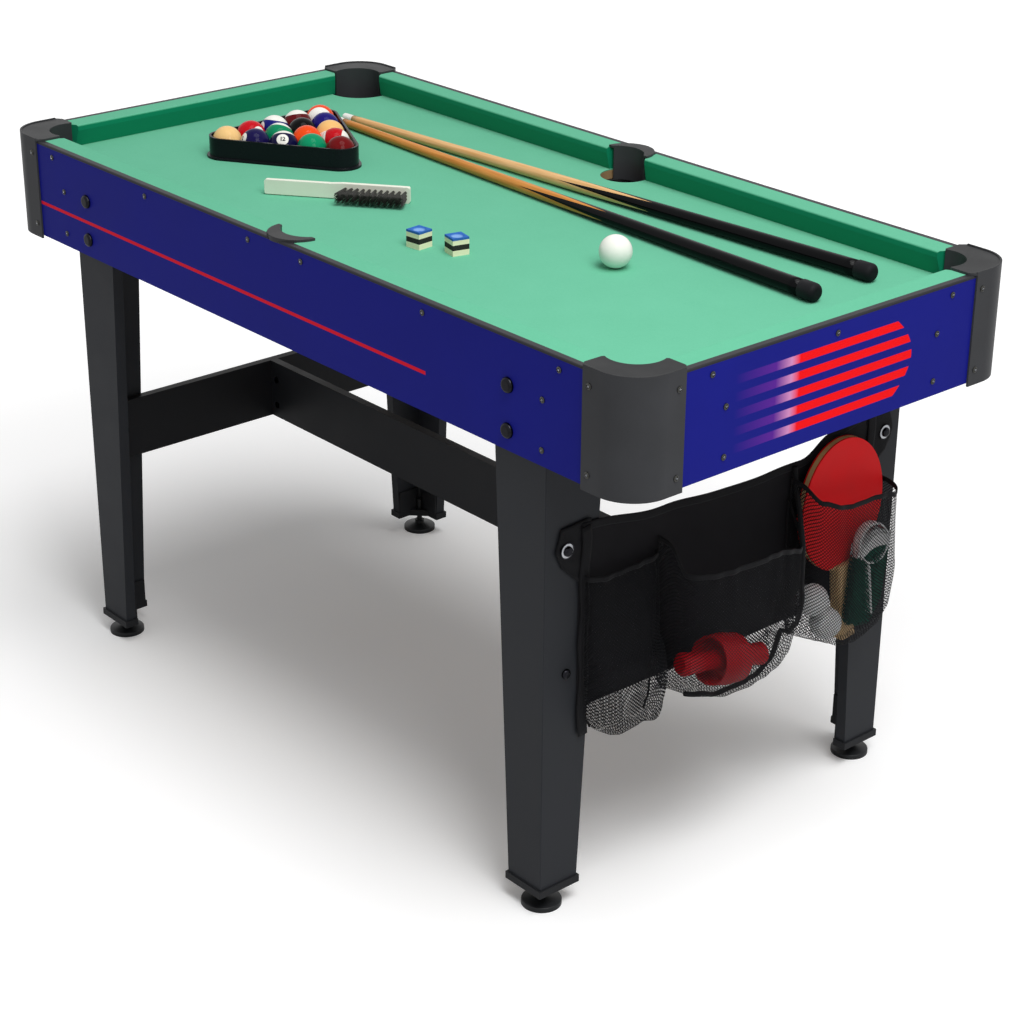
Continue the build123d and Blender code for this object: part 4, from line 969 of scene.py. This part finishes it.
# Tabs: folded tape sewn to the panel's upper corners, with an eyelet round each bolt
tab_corners = [
    (0.225, 0.492),
    (0.268, 0.489),
    (0.276, 0.462),
    (0.266, 0.441),
    (0.244, 0.420),
    (0.225, 0.417),
]
bolt_y = 0.260
bolt_z = 0.462
bolt_hole_radius = 3.6 * mm
around_tab = 48
tab_rings = 7
eyelet_profile = [
    (0.0, 4.0 * mm),
    (0.9 * mm, 4.4 * mm),
    (1.3 * mm, 6.2 * mm),
    (1.0 * mm, 8.6 * mm),
    (0.0, 9.2 * mm),
]
for sign, label in ((-1, "left"), (1, "right")):
    bolt = Vector((sign * bolt_y, bolt_z))
    vertices, uvs, outline = [], [], []
    for k in range(around_tab):
        at = k / around_tab * len(tab_corners)
        (ya, za), (yb, zb) = tab_corners[int(at)], tab_corners[(int(at) + 1) % len(tab_corners)]
        share = at - int(at)
        outline.append(Vector((sign * (ya + (yb - ya) * share), za + (zb - za) * share)))
    for ring in range(tab_rings):
        share = ring / (tab_rings - 1)
        for corner in outline:
            away = corner - bolt
            spot = bolt + away.normalized() * bolt_hole_radius * (1 - share) + away * share
            wavy = 0.5 * mm * sin(spot.y * 300 + spot.x * 200)
            vertices.append((leg_x + 2.2 * mm + wavy, spot.x, spot.y))
            uvs.append((spot.x, spot.y))
    faces = ring_faces(tab_rings, around_tab)
    tab = piece(f"bag_{label}_tab", vertices, faces, bag_tape, "table", "bag_panel", uvs)
    thicken(tab, 1.0 * mm)
    origin = (leg_x + 3.0 * mm, bolt.x, bolt.y)
    vertices, faces, uvs = turned(eyelet_profile, origin, (1, 0, 0), (0, 1, 0))
    eyelet = piece(f"bag_{label}_eyelet", vertices, faces, washer_steel, "table", None, uvs)
    bag_parts += [tab, eyelet]

# Mesh pockets: pouches that belly out, sag between their seams and close at a curved floor
fall_shares = [(0.0, 0.0), (0.5, 0.55), (0.8, 0.86), (0.92, 0.97), (1.0, 1.0)]
draw_in = [(0.0, 0.0), (0.55, 0.0), (0.85, 4 * mm), (1.0, 12 * mm)]
gather_shares = [(0.0, 1.0), (0.35, 0.0)]


def pouch_point(look, t, h):
    """A point of a pouch, by the share round its front from left to right and down from the hem."""
    y_start, y_end = look["ends"]
    power = look["square"][0 if t < 0.5 else 1]
    out = sin(pi * t) ** power if 0 < t < 1 else 0.0
    side = abs(cos(pi * t)) ** power * (-1 if t < 0.5 else 1)
    y = (y_start + y_end) / 2 + ((y_end - y_start) / 2 - interpolate(draw_in, h)) * side
    high = interpolate(look["hem"], t)
    low = interpolate(look["floor"], (y - y_start) / (y_end - y_start))
    low += 3.5 * mm * noise.noise(Vector((y * 45, 0.7, 2.9)))
    z = high - (high - low) * interpolate(fall_shares, h)
    crease = 2.6 * mm * noise.noise(Vector((y * 28, z * 22, 1.7)))
    gather = 1.0 * mm * sin(y * 260) * interpolate(gather_shares, h)
    belly = look["depth"] * interpolate(look["bulge"], h) - 1.0 * mm
    return Vector((pocket_back + 0.6 * mm + (belly + crease + gather) * out, y, z))


def pouch_line(look, places, forward):
    """Points of a pouch at some (round, down) places, a little in front of it."""
    return [pouch_point(look, t, h) + Vector((forward, 0, 0)) for t, h in places]


def running_lengths(points):
    """Distance along a row of points, up to each of them."""
    lengths = [0.0]
    for before, after in zip(points, points[1:]):
        lengths.append(lengths[-1] + (after - before).length)
    return lengths


back_top = 0.262
back_rows = 9
back_columns = 41


def pouch(name, look):
    """Loft one pouch from its hem to its floor, with a back layer below the panel's lower edge."""
    rows, columns = 49, 81
    round_shares = [c / (columns - 1) for c in range(columns)]
    down_shares = [r / (rows - 1) for r in range(rows)]
    around = running_lengths([pouch_point(look, t, 0.5) for t in round_shares])
    drops = running_lengths([pouch_point(look, 0.5, h) for h in down_shares])
    vertices = [pouch_point(look, t, h) for h in down_shares for t in round_shares]
    uvs = [(length, drop) for drop in drops for length in around]
    faces = grid_faces(rows, columns) + grid_faces(back_rows, back_columns, len(vertices))
    y_start, y_end = look["ends"]
    inset = 2 * mm
    back_x = pocket_back + 0.4 * mm
    for r in range(back_rows):
        for c in range(back_columns):
            y = y_start + inset + (y_end - y_start - 2 * inset) * c / (back_columns - 1)
            low = interpolate(look["back_floor"], (y - y_start) / (y_end - y_start))
            low += 3 * mm * noise.noise(Vector((y * 60, 5.1, 0.4)))
            z = low + (back_top - low) * r / (back_rows - 1)
            wavy = 1.4 * mm * noise.noise(Vector((y * 25, z * 25, 4)))
            vertices.append((back_x + wavy, y, z))
            uvs.append((y, z))
    piece(name, vertices, faces, bag_mesh, "table", "bag_pockets", uvs)


def piping(name, route, radius):
    """A round bound seam of the pockets along a route of points."""
    curve = bpy.data.curves.new(name, "CURVE")
    curve.dimensions = "3D"
    curve.bevel_depth = radius
    curve.bevel_resolution = 3
    spline = curve.splines.new("POLY")
    spline.points.add(len(route) - 1)
    for point, spot in zip(spline.points, route):
        point.co = (*spot, 1.0)
    curve.materials.append(bag_tape)
    placed(name, curve, "table", "bag_pockets")


# Each pouch: its ends across, its depth, the shares of that depth it bulges by down from the hem, its
# hem by the share round it, its floor and its back layer's floor by the share across, and how square
# each half of its plan is, from 0.4 for a box to 1 for an ellipse
full_bulge_shares = [
    (0.0, 0.88),
    (0.3, 0.96),
    (0.6, 1.0),
    (0.8, 0.96),
    (0.9, 0.84),
    (0.96, 0.55),
    (1.0, 0.05),
]
flat_bulge_shares = [(0.0, 0.25), (0.35, 0.45), (0.7, 0.95), (0.85, 0.9), (0.95, 0.55), (1.0, 0.05)]
middle_bulge_shares = [
    (0.0, 0.90),
    (0.3, 0.96),
    (0.6, 1.0),
    (0.8, 0.92),
    (0.9, 0.72),
    (0.96, 0.46),
    (1.0, 0.05),
]
left_floor = [(0.0, 0.236), (0.3, 0.219), (0.6, 0.222), (0.8, 0.216), (1.0, 0.232)]
right_floor = [(0.0, 0.238), (0.5, 0.214), (1.0, 0.238)]
pouch_looks = {
    "left": {
        "ends": (-0.234, -0.125),
        "depth": 0.046,
        "bulge": flat_bulge_shares,
        "hem": [(0.0, 0.424), (0.5, 0.420), (1.0, 0.422)],
        "floor": left_floor,
        "back_floor": left_floor,
        "square": (0.5, 0.5),
    },
    "middle": {
        "ends": (-0.121, 0.092),
        "depth": 0.076,
        "bulge": middle_bulge_shares,
        "hem": [(0.0, 0.438), (0.12, 0.405), (0.5, 0.403), (0.85, 0.379), (0.93, 0.398), (1.0, 0.420)],
        "floor": [(0.0, 0.244), (0.35, 0.222), (0.6, 0.222), (0.75, 0.235), (0.9, 0.262), (1.0, 0.300)],
        "back_floor": [(0.0, 0.240), (0.4, 0.218), (0.7, 0.214), (1.0, 0.236)],
        "square": (0.45, 0.88),
    },
    "right": {
        "ends": (0.0955, 0.2495),
        "depth": 0.060,
        "bulge": full_bulge_shares,
        "hem": [(0.0, 0.447), (0.25, 0.428), (0.5, 0.415), (0.75, 0.405), (1.0, 0.410)],
        "floor": right_floor,
        "back_floor": right_floor,
        "square": (0.48, 0.48),
    },
}
# A hem's band, as (forward, down from the hem's edge)
hem_section = [(0.6 * mm, 0.6 * mm), (0.6 * mm, -1.0 * mm), (0.6 * mm, -4.0 * mm), (0.2 * mm, -5.5 * mm)]
for label, look in pouch_looks.items():
    pouch(f"bag_{label}_mesh_pouch", look)
    edge = [pouch_point(look, k / 80, 0.0) for k in range(81)]
    vertices, uvs = [], []
    for spot, run in zip(edge, running_lengths(edge)):
        for forward, drop in hem_section:
            vertices.append(spot + Vector((forward, 0, drop)))
            uvs.append((run, drop))
    faces = grid_faces(len(edge), len(hem_section))
    hem_band = piece(f"bag_{label}_hem", vertices, faces, bag_tape, "table", "bag_pockets", uvs)
    thicken(hem_band, 1.2 * mm)
    for side, t in (("front", 0.0), ("rear", 1.0)):
        route = pouch_line(look, [(t, k / 30) for k in range(31)], 1.2 * mm)
        piping(f"bag_{label}_{side}_piping", route, 1.3 * mm)

# Thick bound seam that comes down beside the middle pouch, follows its corner and runs on under it
seam_turn_share = 0.815
seam_floor_share = 0.95
seam_start = [(0.4745, 0.0985, 0.462), (0.4780, 0.0975, 0.440), (0.4900, 0.0930, 0.415)]
seam_places = [(seam_turn_share, 0.02 + 0.93 * k / 30) for k in range(31)]
seam_places += [(seam_turn_share - 0.6 * k / 24, seam_floor_share) for k in range(1, 25)]
seam_route = [Vector(p) for p in seam_start]
seam_route += pouch_line(pouch_looks["middle"], seam_places, 1.5 * mm)
piping("bag_bound_seam", seam_route, 3.1 * mm)

# Net of the table tennis set: one long strip folded back and forth into a bundle
net_low = [(0.0, 0.240), (0.5, 0.236), (1.0, 0.262)]
net_high = [(0.0, 0.346), (0.5, 0.360), (1.0, 0.350)]
net_x = 0.5000
net_start_y = 0.180
net_across = 0.060
net_height = 0.110
net_lean = 10 * mm
net_layers = 8
net_layer_pitch = 2.1 * mm
net_steps = 24
net_rows = 15
vertices, uvs, run, last = [], [], 0.0, None
for layer in range(net_layers):
    inset = 4 * mm * ((layer * 7) % 5) / 4
    for k in range(net_steps):
        share = k / (net_steps - 1)
        way = share if layer % 2 == 0 else 1 - share
        y = net_start_y + inset + (net_across - 2 * inset) * way
        bulge = 1.1 * mm * sin(pi * share) * (1 if layer % 2 else -1)
        x = net_x + net_layer_pitch * layer + bulge + 0.6 * mm * sin(y * 180 + layer)
        spot = Vector((x, y))
        run += (spot - last).length if last is not None else 0.0
        last = spot
        across_share = (y - net_start_y) / net_across
        low = interpolate(net_low, across_share) + 3 * mm * ((layer * 3) % 4) / 3
        high = interpolate(net_high, across_share) - 4 * mm * ((layer * 5) % 3) / 2
        for row in range(net_rows):
            rise = row / (net_rows - 1)
            vertices.append((x, y - net_lean * (1 - rise), low + (high - low) * rise))
            uvs.append((run, rise * net_height))
faces = grid_faces(net_layers * net_steps, net_rows)
net_name = "folded_table_tennis_net"
net = piece(net_name, vertices, faces, net_mesh, "table_tennis_net", "table_tennis_net", uvs)
# Its two top rows are tape
net.data.materials.append(net_tape)
for polygon in net.data.polygons:
    if polygon.index % (net_rows - 1) >= net_rows - 3:
        polygon.material_index = 1

# Its white head tape stands up from the bundle as a loop, with one end hanging down the front
head_tape_width = 12.5 * mm
head_tape_x = 0.5035
loop_middle = (0.2050, 0.3440)
loop_route = []
for k in range(45):
    angle = -2.1 + 2 * pi * k / 44
    across = 25.5 * mm * cos(angle) - 4 * mm * sin(angle)
    loop_route.append(Vector((loop_middle[0] + across, loop_middle[1] + 26.5 * mm * sin(angle))))
tail = loop_route[-1]
loop_route += [tail + k * Vector((0.8 * mm, -5.2 * mm)) for k in range(1, 15)]
vertices, uvs = [], []
for k, (spot, run) in enumerate(zip(loop_route, running_lengths(loop_route))):
    forward = 2.2 * mm if k > 44 else 0.0
    for share in (0.0, 0.33, 0.67, 1.0):
        x = head_tape_x + head_tape_width * share + forward
        vertices.append((x, spot.x, spot.y + 0.6 * mm * sin(pi * share)))
        uvs.append((run, share * head_tape_width))
faces = grid_faces(len(loop_route), 4)
loop_name = "net_head_tape_loop"
loop = piece(loop_name, vertices, faces, net_tape, "table_tennis_net", "table_tennis_net", uvs)
thicken(loop, 1.6 * mm)

# Studio: a white floor that keeps the shadow, in white surroundings. The camera sees the floor a
# little lifted near the table and more so away from it, and the lamps stay at a plain level.
white = (1.0, 1.0, 1.0, 1.0)
floor_half = 9


def floor_build(tree):
    place = node(tree, "TexCoord", output=3)
    cloud = node(tree, "TexNoise", {"Vector": place, "Scale": every(667)})
    grey = node(tree, "Mix RGBA", {0: cloud, 6: "#eaeaea", 7: "#eeeeee"}, 2)
    seen_directly = node(tree, "LightPath", (), "Is Camera Ray")
    tone = node(tree, "Mix RGBA", {0: seen_directly, 6: grey, 7: white}, 2)
    on_floor = node(tree, "VectorMath MULTIPLY", (place, (1.0, 1.0, 0.0)))
    away = node(tree, "VectorMath LENGTH", (on_floor,), 1)
    lift = node(tree, "MapRange", (away, 0.7, 1.8, 0.10, 0.34))
    glow = node(tree, "Emission", {"Strength": node(tree, "Math MULTIPLY", (lift, seen_directly))})
    return node(tree, "AddShader", (node(tree, "BsdfDiffuse", {"Color": tone}), glow))


def staged(name, data):
    """Put a floor, lamp or camera in the scene, beside the object."""
    made = bpy.data.objects.new(name, data)
    bpy.context.scene.collection.objects.link(made)
    return made


floor_mesh = bpy.data.meshes.new("studio_floor")
floor_corners = [(x * floor_half, y * floor_half, 0) for x, y in ((-1, -1), (1, -1), (1, 1), (-1, 1))]
floor_mesh.from_pydata(floor_corners, [], [(0, 1, 2, 3)])
floor_mesh.materials.append(material("white_studio_floor", floor_build))
staged("studio_floor", floor_mesh)

world = bpy.data.worlds.new("white_studio")
bpy.context.scene.world = world
world.use_nodes = True
sky = world.node_tree
sky.nodes.clear()
ray_kinds = ("Is Camera Ray", "Is Glossy Ray", "Is Transmission Ray")
camera_ray, glossy_ray, transmission_ray = [node(sky, "LightPath", (), kind) for kind in ray_kinds]
seen_any = node(sky, "Math MAXIMUM", (camera_ray, glossy_ray))
seen_any = node(sky, "Math MAXIMUM", (seen_any, transmission_ray))
strength = node(sky, "MapRange", (seen_any, 0.0, 1.0, 0.28, 1.0))
background = node(sky, "Background", {"Color": white, "Strength": strength})
node(sky, "OutputWorld", {"Surface": background}, None)


def lamp(name, kind, place, **settings):
    """A lamp that faces the middle of the cloth."""
    data = bpy.data.lights.new(name, kind)
    for key, value in settings.items():
        setattr(data, key, value)
    made = staged(name, data)
    made.location = place
    made.rotation_euler = (Vector((0, 0, 0.7)) - Vector(place)).to_track_quat("-Z", "Y").to_euler()


lamp("broad_lamp_above", "SUN", (0.52, 0.08, 2.7), energy=1.55, angle=radians(36))
lamp("soft_box_right", "AREA", (1.5, -0.45, 2.3), shape="SQUARE", size=1.1, energy=26)

camera_data = bpy.data.cameras.new("photo_camera")
camera_data.sensor_width = 36
camera_data.lens = 82.09
camera = staged("photo_camera", camera_data)
camera_turn = Matrix((camera_right, camera_up, -camera_forward)).transposed()
camera.matrix_world = Matrix.Translation(camera_place) @ camera_turn.to_4x4()
bpy.context.scene.camera = camera
bpy.context.scene.view_settings.view_transform = "Standard"
